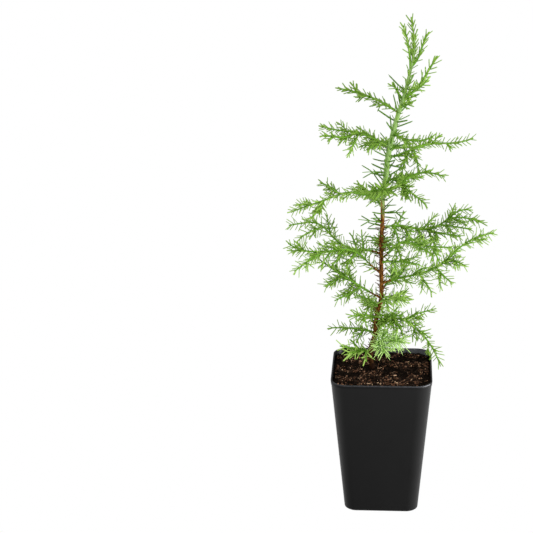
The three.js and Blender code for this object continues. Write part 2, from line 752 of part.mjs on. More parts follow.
// One mass: its stems and twigs are laid first, then needles are drawn out where there is room
function makeFoliage(limb) {
  const shoots = [];
  limb.stems.forEach((stem, i) => {
    const base = i ? STEM.forkBase : STEM.base;
    const first = i ? NEEDLE.forkFirst : NEEDLE.first;
    shoots.push({ path: stem.path, from: stem.from, base, tip: STEM.tip, sunk: i > 0, first });
    for (const path of sideTwigs(stem, limb.name)) {
      shoots.push({ path, from: 0, base: TWIG.base, tip: TWIG.tip, sunk: true, first: NEEDLE.forkFirst });
    }
  });
  const bits = [];
  for (const { path, from } of shoots) {
    for (let s = from + 1; s <= path.length; s += 1) {
      bits.push({ path, point: path.at(s).point });
    }
  }
  const random = seeded(limb.needleSeed);
  const parts = shoots.map((shoot) => toSolid(needledStem(shoot, limb.name, random, bits)));
  return toGeometry(wasm.Manifold.union(parts).asOriginal().simplify(JOIN_TOLERANCE));
}

function makeBough(limb) {
  const tip = limb.thick * BOUGH.tipShare;
  const radius = (s) => THREE.MathUtils.mapLinear(s, limb.base, limb.bare, limb.thick, tip);
  const count = Math.max(1, Math.round((limb.bare - limb.base) / BOUGH.step));
  const rings = [];
  for (let i = 1; i < count; i++) {
    rings.push({ s: THREE.MathUtils.lerp(limb.base, limb.bare, i / count), twist: 0 });
  }
  return limbSkin(limb.path, { from: limb.base, to: limb.bare, radius, sides: BOUGH.sides, rings });
}

// Trunk: bare brown stem with a root flare, then a green leader clothed in needles to its tip
function makeTrunk() {
  const random = seeded(SEED.trunk);
  const green = trunkAt(TRUNK.greenFrom);
  const rings = [];
  for (const up of TRUNK.flareRings) {
    rings.push({ s: trunkAt(up), twist: 0 });
  }
  const bareFrom = rings.at(-1).s;
  const bareRings = Math.round((green - bareFrom) / TRUNK.ringGap);
  for (let i = 1; i < bareRings; i++) {
    rings.push({ s: THREE.MathUtils.lerp(bareFrom, green, i / bareRings), twist: 0 });
  }
  for (const ring of whorlRings(green, trunkPath.length - NEEDLE.last, TRUNK.whorlGap)) {
    rings.push({ ...ring, twist: 0 });
  }
  const needleTip = (ring, k, corners) => {
    const length = varied(TRUNK.needle, NEEDLE.vary, random) * (ring.last ? NEEDLE.tipShare : 1);
    if (!TRUNK.needled.includes((k + 2 * ring.whorl) % TRUNK.sides)) {
      return null;
    }
    const middle = new THREE.Vector3();
    corners.forEach((c) => middle.addScaledVector(c, 0.25));
    const { point, along } = trunkPath.at(ring.s + NEEDLE.rootLength / 2);
    const spread = THREE.MathUtils.degToRad(ring.last ? NEEDLE.tipSpread : NEEDLE.spread);
    const out = middle.clone().sub(point).normalize();
    const aim = along.clone().multiplyScalar(Math.cos(spread)).addScaledVector(out, Math.sin(spread));
    const end = middle.clone().addScaledVector(aim, length);
    return inSpace(end, "trunk") ? end : null;
  };
  const radius = (s) => trunkRadius(trunkPath.at(s).point.z);
  const geometry = limbSkin(trunkPath, { radius, sides: TRUNK.sides, rings, needleTip, pointed: true });
  // The foot is cut flat, just clear of the mix
  const cut = 4 * TRUNK_RADIUS[0][1];
  const block = new THREE.BoxGeometry(cut, cut, cut);
  block.translate(foot.x, foot.y, SOIL + GAP - cut / 2);
  return toGeometry(toSolid(geometry).subtract(toSolid(block)));
}

// Put every piece in the model
const plant = new THREE.Group();

function addPiece(name, geometry, look) {
  const mesh = new THREE.Mesh(geometry, new THREE.MeshStandardMaterial(look));
  mesh.name = name;
  plant.add(mesh);
}

addPiece("pot", makePot(), LOOKS.pot);
addPiece("potting_mix", makeMix(), LOOKS.mix);
addPiece("trunk", makeTrunk(), LOOKS.bark);
for (const limb of limbs) {
  if (limb.bare) {
    addPiece(`bough_${limb.name}`, makeBough(limb), LOOKS.bark);
  }
  addPiece(`foliage_${limb.name}`, makeFoliage(limb), LOOKS.foliage);
}

export default plant;
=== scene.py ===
# A young Arizona cypress in a square black nursery pot, seen as it was photographed: from a
# little above the rim, on white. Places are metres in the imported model's frame, +Z up, with
# the origin under the pot. The plant itself is worked out in millimetres.
import math

import bmesh
import bpy
import numpy as np
from mathutils import Matrix, Vector, noise


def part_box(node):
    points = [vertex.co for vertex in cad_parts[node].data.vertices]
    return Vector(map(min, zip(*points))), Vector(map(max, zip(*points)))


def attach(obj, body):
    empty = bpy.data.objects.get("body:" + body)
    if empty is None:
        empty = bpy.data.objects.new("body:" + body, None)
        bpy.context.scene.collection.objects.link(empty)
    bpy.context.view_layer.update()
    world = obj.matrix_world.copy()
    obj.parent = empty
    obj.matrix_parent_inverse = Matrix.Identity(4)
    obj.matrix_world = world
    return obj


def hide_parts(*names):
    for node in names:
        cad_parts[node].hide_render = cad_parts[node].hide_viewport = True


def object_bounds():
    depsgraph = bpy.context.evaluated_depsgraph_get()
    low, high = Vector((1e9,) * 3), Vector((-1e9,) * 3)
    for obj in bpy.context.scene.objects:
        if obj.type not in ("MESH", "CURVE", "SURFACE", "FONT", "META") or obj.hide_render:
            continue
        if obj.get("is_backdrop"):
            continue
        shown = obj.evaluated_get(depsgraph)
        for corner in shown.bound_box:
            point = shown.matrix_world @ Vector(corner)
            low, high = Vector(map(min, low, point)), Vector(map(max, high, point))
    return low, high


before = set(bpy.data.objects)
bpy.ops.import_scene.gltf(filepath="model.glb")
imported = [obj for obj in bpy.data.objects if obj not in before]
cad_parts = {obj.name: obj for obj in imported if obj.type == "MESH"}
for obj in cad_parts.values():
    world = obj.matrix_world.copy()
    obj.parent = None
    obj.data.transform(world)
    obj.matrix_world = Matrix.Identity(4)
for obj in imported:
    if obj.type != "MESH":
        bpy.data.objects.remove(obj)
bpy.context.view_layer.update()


# Camera. A long lens about 1.6 m away, a little above the plant and aimed left of it, so that
# the plant stands right of the middle. Found by fitting the pot's rim, foot and height.
PICTURE_PIXELS = 533
FOCAL_PIXELS = 1620
SENSOR = 36
AIM = Vector((0, 0, 0.25))
AZIMUTH = math.radians(0.692)
ELEVATION = math.radians(19.233)
DISTANCE = 1.6256
PAN_LEFT = math.radians(4.326)
TILT_UP = math.radians(0.17)
ROLL = math.radians(1.174)

lens = bpy.data.cameras.new("long_lens")
lens.sensor_width = SENSOR
lens.lens = SENSOR * FOCAL_PIXELS / PICTURE_PIXELS
camera = bpy.data.objects.new("long_lens", lens)
bpy.context.scene.collection.objects.link(camera)
bpy.context.scene.camera = camera
away = Vector((math.sin(AZIMUTH), -math.cos(AZIMUTH), math.tan(ELEVATION))).normalized()
camera.location = AIM + DISTANCE * away
turned = (-away).to_track_quat("-Z", "Y").to_matrix()
turned = Matrix.Rotation(PAN_LEFT, 3, "Z") @ turned
turned = Matrix.Rotation(TILT_UP, 3, turned.col[0]) @ turned
turned = Matrix.Rotation(ROLL, 3, -turned.col[2]) @ turned
camera.rotation_euler = turned.to_euler()


# The pot. A 4 in square nursery pot, injection-moulded in black polypropylene: thin tapered
# walls, round corners, a narrow band round the rim, and four drain holes in a flat foot.
MM = 0.001
pot_low, pot_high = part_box("pot")
POT_HEIGHT = pot_high.z
RIM_WIDTH = pot_high.x - pot_low.x
FOOT_WIDTH = 75 * MM
FOOT_CORNER = 10.8 * MM
CORNER_STEPS = 10
FOOT_STEPS = 6
EDGE_STEPS = 4
WALL = 1.1 * MM
FLOOR = 1.8 * MM
FOOT_ROUND = 2.5 * MM
FLOOR_ROUND = 3.5 * MM
BAND_HEIGHT = 4 * MM
BAND_PROUD = 0.3 * MM
RIM_ROUND = 0.45 * MM
CREASE = math.radians(50)
# Painted light pales the front edge of the rim, as a painted highlight, and the inside of the back
# wall all but its left part
LIP = 0.5 * MM
LIP_HIGHLIGHT = 0.22
BACK_CURVE = 8 * MM
BACK_LIGHT_FADE = 16 * MM
BACK_LIGHT_MIDDLE = 0.7
BACK_LIGHT_FROM = 4 * FLOOR
DRAIN_HOLE = 8 * MM
DRAIN_SPREAD = 20 * MM
DRAIN_SEGMENTS = 24


def linear(hex_colour):
    """An sRGB hex colour as linear red, green, blue and alpha."""
    channels = [int(hex_colour[i:i + 2], 16) / 255 for i in (1, 3, 5)]
    return [c / 12.92 if c <= 0.04045 else ((c + 0.055) / 1.055) ** 2.4 for c in channels] + [1]


def add_node(tree, kind, inputs, **settings):
    """Add a node, set its properties, and fill or link its inputs."""
    node = tree.nodes.new(kind)
    for name, value in settings.items():
        setattr(node, name, value)
    for name, value in inputs.items():
        if isinstance(value, bpy.types.NodeSocket):
            tree.links.new(value, node.inputs[name])
        else:
            node.inputs[name].default_value = value
    return node


def new_material(name):
    """A material with an empty tree and its output node."""
    material = bpy.data.materials.new(name)
    material.use_nodes = True
    material.node_tree.nodes.clear()
    output = material.node_tree.nodes.new("ShaderNodeOutputMaterial")
    return material, material.node_tree, output


def link_piece(name, mesh, material):
    """Put a finished mesh in the scene in its material, riding on the plant's one body."""
    piece = bpy.data.objects.new(name, mesh)
    bpy.context.scene.collection.objects.link(piece)
    mesh.materials.append(material)
    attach(piece, "root")
    return piece


def mesh_from(bm, name):
    """Turn a bmesh into a smooth mesh with its faces outwards."""
    bmesh.ops.recalc_face_normals(bm, faces=bm.faces[:])
    mesh = bpy.data.meshes.new(name)
    bm.to_mesh(mesh)
    bm.free()
    mesh.shade_smooth()
    return mesh


def square_outline(bm, width, corner, cuts=0):
    """An edge loop on the ground: a square with round corners and, if asked, cut sides."""
    bmesh.ops.create_grid(bm, x_segments=1, y_segments=1, size=width / 2)
    bmesh.ops.bevel(
        bm, geom=bm.verts[:], offset=corner, affect="VERTICES", segments=CORNER_STEPS,
        profile=0.5, material=-1)
    if cuts:
        sides = [e for e in bm.edges if e.calc_length() > width / 2]
        bmesh.ops.subdivide_edges(bm, edges=sides, cuts=cuts)
    bmesh.ops.delete(bm, geom=bm.faces[:], context="FACES_ONLY")
    return bm.edges[:]


def draw_on(bm, edges):
    """Draw an edge loop on, and give the corners and the edges of the new loop."""
    made = bmesh.ops.extrude_edge_only(bm, edges=edges)["geom"]
    corners = [part for part in made if isinstance(part, bmesh.types.BMVert)]
    return corners, [part for part in made if isinstance(part, bmesh.types.BMEdge)]


def next_ring(bm, edges, scale, rise):
    """Draw an edge loop on by one step, scaled about the pot's axis and lifted."""
    corners, ring = draw_on(bm, edges)
    bmesh.ops.scale(bm, vec=(scale, scale, 1), verts=corners)
    bmesh.ops.translate(bm, vec=(0, 0, rise), verts=corners)
    return ring


def pot_width(z, inset):
    """The pot's width at a height, set in from its outside on every side."""
    share = z / POT_HEIGHT
    return FOOT_WIDTH + (RIM_WIDTH - 2 * BAND_PROUD - FOOT_WIDTH) * share - 2 * inset


def quarter(steps):
    """Sines and cosines of a quarter turn."""
    turns = [math.pi / 2 * k / steps for k in range(steps + 1)]
    return [(math.sin(turn), math.cos(turn)) for turn in turns]


# The wall's section as heights and insets: the rounded foot, the band, the rim's round edge on
# its outside and its inside, and the round between wall and floor
band_foot = POT_HEIGHT - BAND_HEIGHT
pot_profile = [(FOOT_ROUND * (1 - c), FOOT_ROUND * (1 - s)) for s, c in quarter(FOOT_STEPS)]
pot_profile += [
    (band_foot - BAND_PROUD, 0), (band_foot, -BAND_PROUD), (POT_HEIGHT - 3 * LIP, -BAND_PROUD)]
edge = quarter(EDGE_STEPS)
pot_profile += [
    (POT_HEIGHT - RIM_ROUND * (1 - s), -BAND_PROUD + RIM_ROUND * (1 - c)) for s, c in edge]
pot_profile += [(POT_HEIGHT - RIM_ROUND * (1 - c), WALL - RIM_ROUND * (1 - s)) for s, c in edge]
pot_profile += [(FLOOR + FLOOR_ROUND * (1 - s), WALL + FLOOR_ROUND * (1 - c)) for s, c in edge]

shell = bmesh.new()
ring = square_outline(shell, pot_width(0, FOOT_ROUND), FOOT_CORNER)
foot_edges = ring
painted_light_layer = shell.verts.layers.float.new("painted_light")
for (z0, inset0), (z1, inset1) in zip(pot_profile, pot_profile[1:]):
    ring = next_ring(shell, ring, pot_width(z1, inset1) / pot_width(z0, inset0), z1 - z0)
    back_wall = pot_width(z1, inset1) / 2 - BACK_CURVE
    for corner in {corner for edge in ring for corner in edge.verts}:
        # The front edge of the rim gets a painted highlight
        if z1 > POT_HEIGHT - LIP and inset1 < WALL / 2 and corner.co.y < -back_wall:
            corner[painted_light_layer] = LIP_HIGHLIGHT
        # The inside of the back wall gets painted light, fading out towards the left
        elif inset1 >= WALL and z1 > BACK_LIGHT_FROM and corner.co.y > back_wall:
            corner[painted_light_layer] = min(1, max(0, corner.co.x / BACK_LIGHT_FADE + BACK_LIGHT_MIDDLE))
bmesh.ops.edgeloop_fill(shell, edges=foot_edges)
bmesh.ops.edgeloop_fill(shell, edges=ring)
pot_mesh = mesh_from(shell, "moulded_pot")

drill = bmesh.new()
for x in (-DRAIN_SPREAD, DRAIN_SPREAD):
    for y in (-DRAIN_SPREAD, DRAIN_SPREAD):
        bmesh.ops.create_cone(
            drill, cap_ends=True, segments=DRAIN_SEGMENTS, radius1=DRAIN_HOLE / 2,
            radius2=DRAIN_HOLE / 2, depth=4 * FLOOR, matrix=Matrix.Translation((x, y, 0)))
drill_bits = bpy.data.objects.new("drill_bits", mesh_from(drill, "drill_bits"))
bpy.context.scene.collection.objects.link(drill_bits)

black_pp, tree, output = new_material("moulded_polypropylene")
# Black polypropylene: satin from the mould's fine grain, greyer with a painted highlight on the front
# edge of the rim and painted light on the inside of the back wall
where = add_node(tree, "ShaderNodeTexCoord", {}).outputs["Object"]
cloud = add_node(tree, "ShaderNodeTexNoise", {
    "Vector": where, "Scale": 1 / (28 * MM), "Detail": 3})
grain = add_node(tree, "ShaderNodeTexNoise", {
    "Vector": where, "Scale": 1 / (0.5 * MM), "Detail": 2})
tone = add_node(tree, "ShaderNodeMix", {
    "Factor": cloud.outputs["Fac"], "A": linear("#040404"), "B": linear("#080808")}, data_type="RGBA")
# Painted highlight on the rim's front edge and painted light on the back wall, mixed in as grey
painted_light = add_node(tree, "ShaderNodeAttribute", {}, attribute_name="painted_light").outputs["Fac"]
with_painted_light = add_node(tree, "ShaderNodeMix", {
    "Factor": painted_light, "A": tone.outputs["Result"], "B": linear("#57585d")}, data_type="RGBA")
sheen = add_node(tree, "ShaderNodeMapRange", {
    "Value": cloud.outputs["Fac"], "To Min": 0.36, "To Max": 0.42})
relief = add_node(tree, "ShaderNodeBump", {
    "Height": grain.outputs["Fac"], "Strength": 0.12, "Distance": 0.1 * MM})
surface = add_node(tree, "ShaderNodeBsdfPrincipled", {
    "Base Color": with_painted_light.outputs["Result"], "Roughness": sheen.outputs["Result"],
    "Normal": relief.outputs["Normal"], "IOR": 1.49, "Specular IOR Level": 0.1})
tree.links.new(surface.outputs["BSDF"], output.inputs["Surface"])

pot = link_piece("moulded_pot", pot_mesh, black_pp)
holes = pot.modifiers.new("drain_holes", "BOOLEAN")
holes.object = drill_bits
drilled = pot.evaluated_get(bpy.context.evaluated_depsgraph_get())
pot.data = bpy.data.meshes.new_from_object(drilled)
pot.modifiers.clear()
pot.data.name = "moulded_pot"
pot.data.set_sharp_from_angle(angle=CREASE)
bpy.data.objects.remove(drill_bits)
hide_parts("pot")


# The potting mix. Composted bark and peat, poured in and settled to 6 mm below the rim: a
# dark crumbly bed, lumpy on top and slightly mounded round the stem.
SOIL = POT_HEIGHT - 6 * MM
SETTLED = 0.6 * MM
MIX_GAP = 0.3 * MM
MIX_CORNER = 15 * MM
MIX_RINGS = 46
MIX_CUTS = 27
MIX_GRID = 1.7 * MM
STEM_FOOT = Vector((-10 * MM, 9 * MM, 0))
MOUND_REACH = 13 * MM
MOUND = 1.4 * MM
BACK_HEAP = 1.7 * MM
# Sizes and heights of the lumps, from clods to crumbs
LUMPS = [(11 * MM, 1.1 * MM), (4 * MM, 0.8 * MM), (1.7 * MM, 0.45 * MM)]


def mix_height(x, y):
    """Top of the mix at a place: lumps, a heap along the back, a low mound at the stem."""
    height = SOIL - SETTLED
    for size, tall in LUMPS:
        height += tall * noise.noise(Vector((x, y, size * 3)) / size)
    height += BACK_HEAP * max(0, y / pot_width(SOIL, 0) * 2) ** 2
    near = (Vector((x, y, 0)) - STEM_FOOT).length / MOUND_REACH
    return height + MOUND * math.exp(-near * near)


bed = bmesh.new()
bed_width = pot_width(SOIL, WALL + MIX_GAP)
ring = square_outline(bed, bed_width, MIX_CORNER, MIX_CUTS)
bmesh.ops.translate(bed, vec=(0, 0, SOIL), verts=bed.verts[:])
for k in range(1, MIX_RINGS):
    ring = next_ring(bed, ring, (MIX_RINGS - k) / (MIX_RINGS - k + 1), 0)
bmesh.ops.edgeloop_fill(bed, edges=ring)
coarse = [e for e in bed.edges if e.calc_length() > MIX_GRID]
bmesh.ops.subdivide_edges(bed, edges=coarse, cuts=1)
for corner in bed.verts:
    corner.co.z = mix_height(corner.co.x, corner.co.y)
# Its sides go down the wall and round into the floor
ring = [e for e in bed.edges if e.is_boundary]
width = bed_width
for z, inset in [(FLOOR + MIX_GAP + FLOOR_ROUND, 0), (FLOOR + MIX_GAP, FLOOR_ROUND)]:
    corners, ring = draw_on(bed, ring)
    next_width = pot_width(z, WALL + MIX_GAP + inset)
    bmesh.ops.scale(bed, vec=(next_width / width, next_width / width, 1), verts=corners)
    for corner in corners:
        corner.co.z = z
    width = next_width
bmesh.ops.edgeloop_fill(bed, edges=ring)

peat, tree, output = new_material("damp_bark_and_peat")
# Damp peat is near black and dull; shreds of bark in it show red-brown
where = add_node(tree, "ShaderNodeTexCoord", {}).outputs["Object"]
shreds = add_node(tree, "ShaderNodeTexNoise", {
    "Vector": where, "Scale": 1 / (2.4 * MM), "Detail": 6, "Roughness": 0.7})
crumb = add_node(tree, "ShaderNodeTexVoronoi", {"Vector": where, "Scale": 1 / (1.1 * MM)})
tone = add_node(tree, "ShaderNodeValToRGB", {"Fac": shreds.outputs["Fac"]})
tone.color_ramp.elements[0].position = 0.42
tone.color_ramp.elements[0].color = linear("#0b0806")
tone.color_ramp.elements[1].position = 0.68
tone.color_ramp.elements[1].color = linear("#281a13")
relief = add_node(tree, "ShaderNodeBump", {
    "Height": crumb.outputs["Distance"], "Strength": 0.6, "Distance": 0.5 * MM})
surface = add_node(tree, "ShaderNodeBsdfPrincipled", {
    "Base Color": tone.outputs["Color"], "Roughness": 0.9, "Normal": relief.outputs["Normal"],
    "Specular IOR Level": 0.02})
tree.links.new(surface.outputs["BSDF"], output.inputs["Surface"])

mix = link_piece("potting_bed", mesh_from(bed, "potting_bed"), peat)
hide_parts("potting_mix")


# Loose bark and peat. Thousands of crumbs, flakes of composted bark and a few pale splinters
# of fresh wood lie on the bed. Each kind is one joined mesh of small angular lumps.
CLUMP = 13 * MM
CRUMB_EDGE = 1.5 * MM
CRUMB_TRIES = 6
# How unlike one another the crumbs are: each corner's reach, their sizes, and their shapes
CORNER_RANGE = (0.65, 1.25)
SIZE_CHANCE = 0.35
SHAPE_RANGE = (0.7, 1.3)
# How far they tip over, in radians, and how far they lie above the bed, by their thickness
CRUMB_TIP = 0.35
CRUMB_LIFT = 0.35
# Name, how many, length, width and thickness in mm, colour, how strongly they gather in patches
# as wide as a clump, and the seed of their chance
CRUMB_KINDS = [
    ("peat_crumbs", 2600, (1.5, 1.1, 0.9), "#140e0a", 0, 11),
    ("dark_bark_flakes", 1500, (2.6, 1.3, 0.8), "#2a1f18", 1.5, 12),
    ("red_bark_flakes", 850, (2.7, 1.3, 0.8), "#593d2d", 2.5, 13),
    ("tan_wood_chips", 360, (2.4, 1.0, 0.7), "#94705a", 3.5, 14),
    ("pale_splinters", 120, (2.3, 1.0, 0.7), "#cfab8b", 3.5, 15),
]


def lump_shape():
    """Corners and faces of a small twenty-sided lump, one unit in radius."""
    lump = bmesh.new()
    bmesh.ops.create_icosphere(lump, subdivisions=1, radius=1)
    corners = np.array([v.co[:] for v in lump.verts])
    faces = np.array([[v.index for v in f.verts] for f in lump.faces])
    lump.free()
    return corners, faces


def joined_mesh(name, corners, faces):
    """One mesh from many copies: corners is copies x corners x 3, faces are one copy's."""
    copies, count, _ = corners.shape
    all_faces = faces[None] + count * np.arange(copies)[:, None, None]
    mesh = bpy.data.meshes.new(name)
    mesh.from_pydata(
        corners.reshape(-1, 3).tolist(), [], all_faces.reshape(-1, faces.shape[1]).tolist())
    mesh.update()
    return mesh


lump_corners, lump_faces = lump_shape()
for name, count, size, colour, clumping, seed in CRUMB_KINDS:
    chance = np.random.default_rng(seed)
    half = bed_width / 2 - CRUMB_EDGE
    spots = chance.uniform(-half, half, (count * CRUMB_TRIES, 2))
    beyond = np.maximum(np.abs(spots) - (half - MIX_CORNER), 0)
    drift = np.array([noise.noise(Vector((x, y, CLUMP)) / CLUMP) for x, y in spots])
    drift = clumping * drift + chance.uniform(-0.5, 0.5, len(spots))
    spots = spots[(np.hypot(beyond[:, 0], beyond[:, 1]) < MIX_CORNER) & (drift > 0)][:count]
    count = len(spots)
    jitter = chance.uniform(*CORNER_RANGE, (count, len(lump_corners), 3))
    scale = np.array(size) / 2 * MM * chance.lognormal(0, SIZE_CHANCE, (count, 1))
    scale = scale * chance.uniform(*SHAPE_RANGE, (count, 3))
    local = lump_corners[None] * jitter * scale[:, None]
    yaw = chance.uniform(0, 2 * math.pi, count)
    tip = chance.normal(0, CRUMB_TIP, count)
    placed = np.empty_like(local)
    for k, (x, y) in enumerate(spots):
        spin = Matrix.Rotation(yaw[k], 3, "Z") @ Matrix.Rotation(tip[k], 3, "Y")
        rest = Vector((x, y, mix_height(x, y) + CRUMB_LIFT * scale[k, 2]))
        placed[k] = local[k] @ np.array(spin).T + np.array(rest)
    crumb_material, tree, output = new_material(name)
    # Dull fibrous wood or peat in one plain colour, rough with its fibres
    where = add_node(tree, "ShaderNodeTexCoord", {}).outputs["Object"]
    fibre = add_node(tree, "ShaderNodeTexNoise", {
        "Vector": where, "Scale": 1 / (0.8 * MM), "Detail": 3})
    relief = add_node(tree, "ShaderNodeBump", {
        "Height": fibre.outputs["Fac"], "Strength": 0.5, "Distance": 0.2 * MM})
    surface = add_node(tree, "ShaderNodeBsdfPrincipled", {
        "Base Color": linear(colour), "Roughness": 0.85, "Normal": relief.outputs["Normal"],
        "Specular IOR Level": 0.02})
    tree.links.new(surface.outputs["BSDF"], output.inputs["Surface"])
    crumbs = link_piece(name, joined_mesh(name, placed, lump_faces), crumb_material)


# The trunk. One leaning stem, 365 mm tall and 5 mm thick, with flaky red-brown bark that
# gives way to green skin halfway up. It is drawn on ring by ring along its own line.
LINE_STEPS = 12
SOIL_MM = SOIL / MM
STEEP = 0.95
STEM_SIDES = 16
STEM_FOOT_DEPTH = 4
STEM_TIP = 0.4
RING_STEP = 0.8
# Height above the mix and place of the stem's middle, and its radius by height, in mm
TRUNK_LINE = [
    (0, -10, 9), (20, -12, 7.5), (40, -7, 6), (60, -5.5, 5), (80, -1, 3.5), (110, -1, 1.5),
    (140, -1, 0), (165, 0, -1), (190, 0.5, -1.5), (210, 3.5, -1), (230, 5.5, 0), (262, 12.5, 1),
    (285, 19.5, 1), (308, 25, 0.5), (330, 29.5, 0), (347, 29, -0.5), (365, 26, -1)]
TRUNK_RADIUS = [
    (0, 3.5), (5, 2.7), (14, 2.4), (45, 2.4), (80, 2.2), (180, 2.1), (230, 2.1), (285, 1.7),
    (315, 1.3), (350, 0.8), (365, 0.5)]
# Leaf bases run down the green stem and thicken it
LEAF_BASES = [(170, 0), (210, 0.5), (250, 0.6), (285, 0.2), (320, 0)]
# How far the skin has turned to bark: 1 is brown bark, 0 green skin
BARK_AGE = [(0, 1), (130, 1), (155, 0.8), (174, 0.62), (192, 0.3), (212, 0)]
# Size and height of the bark's relief in mm, the share of it that green skin keeps, how far its
# strips and cracks are drawn out upwards, and how fine and deep its cracks are
STEM_RELIEF = (1.2, 0.32)
SKIN_RELIEF = 0.3
STRIP_STRETCH = 5
CRACK_STRETCH = 3
CRACK_FINENESS = 2.4
CRACK_DEPTH = 0.9


def unit(vectors):
    """Vectors scaled to length one."""
    return vectors / np.linalg.norm(vectors, axis=-1, keepdims=True)


def upright_to(vectors, along):
    """Unit vectors with their part along another direction taken out."""
    return unit(vectors - (vectors * along).sum(-1, keepdims=True) * along)


class Path:
    """A line of points in millimetres, with a frame that turns smoothly along it."""

    def __init__(self, points):
        self.points = np.array(points, float)
        steps = np.linalg.norm(np.diff(self.points, axis=0), axis=1)
        self.lengths = np.concatenate([[0], np.cumsum(steps)])
        self.length = self.lengths[-1]
        last = len(self.points) - 1
        after = np.minimum(np.arange(last + 1) + 1, last)
        before = np.maximum(np.arange(last + 1) - 1, 0)
        self.along = unit(self.points[after] - self.points[before])
        guide = (0, 0, 1) if abs(self.along[0][2]) < STEEP else (1, 0, 0)
        sides = [np.cross(self.along[0], guide)]
        for along in self.along:
            sides.append(upright_to(sides[-1], along))
        self.side = np.array(sides[1:])

    def at(self, s):
        """Point, along, side and across at distances along the line."""
        s = np.atleast_1d(np.asarray(s, float))
        i = np.clip(np.searchsorted(self.lengths, s), 1, len(self.points) - 1)
        t = np.clip((s - self.lengths[i - 1]) / (self.lengths[i] - self.lengths[i - 1]), 0, 1)[:, None]
        point = self.points[i - 1] * (1 - t) + self.points[i] * t
        along = unit(self.along[i - 1] * (1 - t) + self.along[i] * t)
        side = upright_to(self.side[i - 1] * (1 - t) + self.side[i] * t, along)
        return point, along, side, np.cross(along, side)


def smooth_line(stations, steps):
    """Points on a smooth curve through stations, mirrored past its two ends."""
    stations = np.array(stations, float)
    stations = np.vstack([2 * stations[0] - stations[1], stations, 2 * stations[-1] - stations[-2]])
    points = []
    for p0, p1, p2, p3 in zip(stations, stations[1:], stations[2:], stations[3:]):
        for k in range(steps):
            t = k / steps
            pull = (p2 - p0) / 2 * (t - 2 * t ** 2 + t ** 3) + (p3 - p1) / 2 * (t ** 3 - t ** 2)
            points.append(p1 * (1 - 3 * t ** 2 + 2 * t ** 3) + p2 * (3 * t ** 2 - 2 * t ** 3) + pull)
    return points + [stations[-2]]


def by_height(table, up):
    """A measure at a height above the mix, from a table of heights and measures."""
    ups, measures = zip(*table)
    return np.interp(up, ups, measures)


def trunk_radius(z):
    """The bare stem's radius at a height."""
    return by_height(TRUNK_RADIUS, z - SOIL_MM)


def leafy_radius(s, z):
    """The stem's radius at a height with its leaf bases."""
    return trunk_radius(z) + by_height(LEAF_BASES, z - SOIL_MM)


def trunk_age(s, z):
    """The age of the stem's skin at a height."""
    return float(by_height(BARK_AGE, z - SOIL_MM))


def flaky(place, size, tall):
    """Relief of flaking bark in millimetres: strips drawn out upwards, with fine cracks."""
    strip = noise.noise(Vector((place.x, place.y, place.z / STRIP_STRETCH)) / size)
    cracked = Vector((place.x, place.y, place.z / CRACK_STRETCH))
    crack = abs(noise.noise(cracked * CRACK_FINENESS / size))
    return tall * (strip - CRACK_DEPTH * crack)


def draw_limb(bm, path, end, radius, sides, age, relief):
    """Draw a ring along a path and close its ends, with the bark's relief and its age."""
    layer = bm.verts.layers.float.get("bark_age") or bm.verts.layers.float.new("bark_age")
    count = max(2, round(end / RING_STEP))
    corners = bmesh.ops.create_circle(bm, segments=sides, radius=1)["verts"]
    first = list({edge for corner in corners for edge in corner.link_edges})
    ring = first
    placed = Matrix.Identity(4)
    drawn = []
    for k, s in enumerate(np.linspace(0, end, count + 1)):
        point, along, side, across = (Vector(row[0]) for row in path.at(s))
        reach = radius(s, point.z)
        matrix = Matrix((side * reach, across * reach, along)).transposed().to_4x4()
        matrix.translation = point
        if k:
            corners, ring = draw_on(bm, ring)
        bmesh.ops.transform(bm, matrix=matrix @ placed.inverted(), verts=corners)
        placed = matrix
        drawn.append((corners, point, age(s, point.z)))
    for corners, point, bark in drawn:
        for corner in corners:
            corner[layer] = bark
            out = (corner.co - point).normalized()
            corner.co += out * flaky(corner.co, *relief) * min(1, bark + SKIN_RELIEF)
    bmesh.ops.edgeloop_fill(bm, edges=first)
    bmesh.ops.edgeloop_fill(bm, edges=ring)


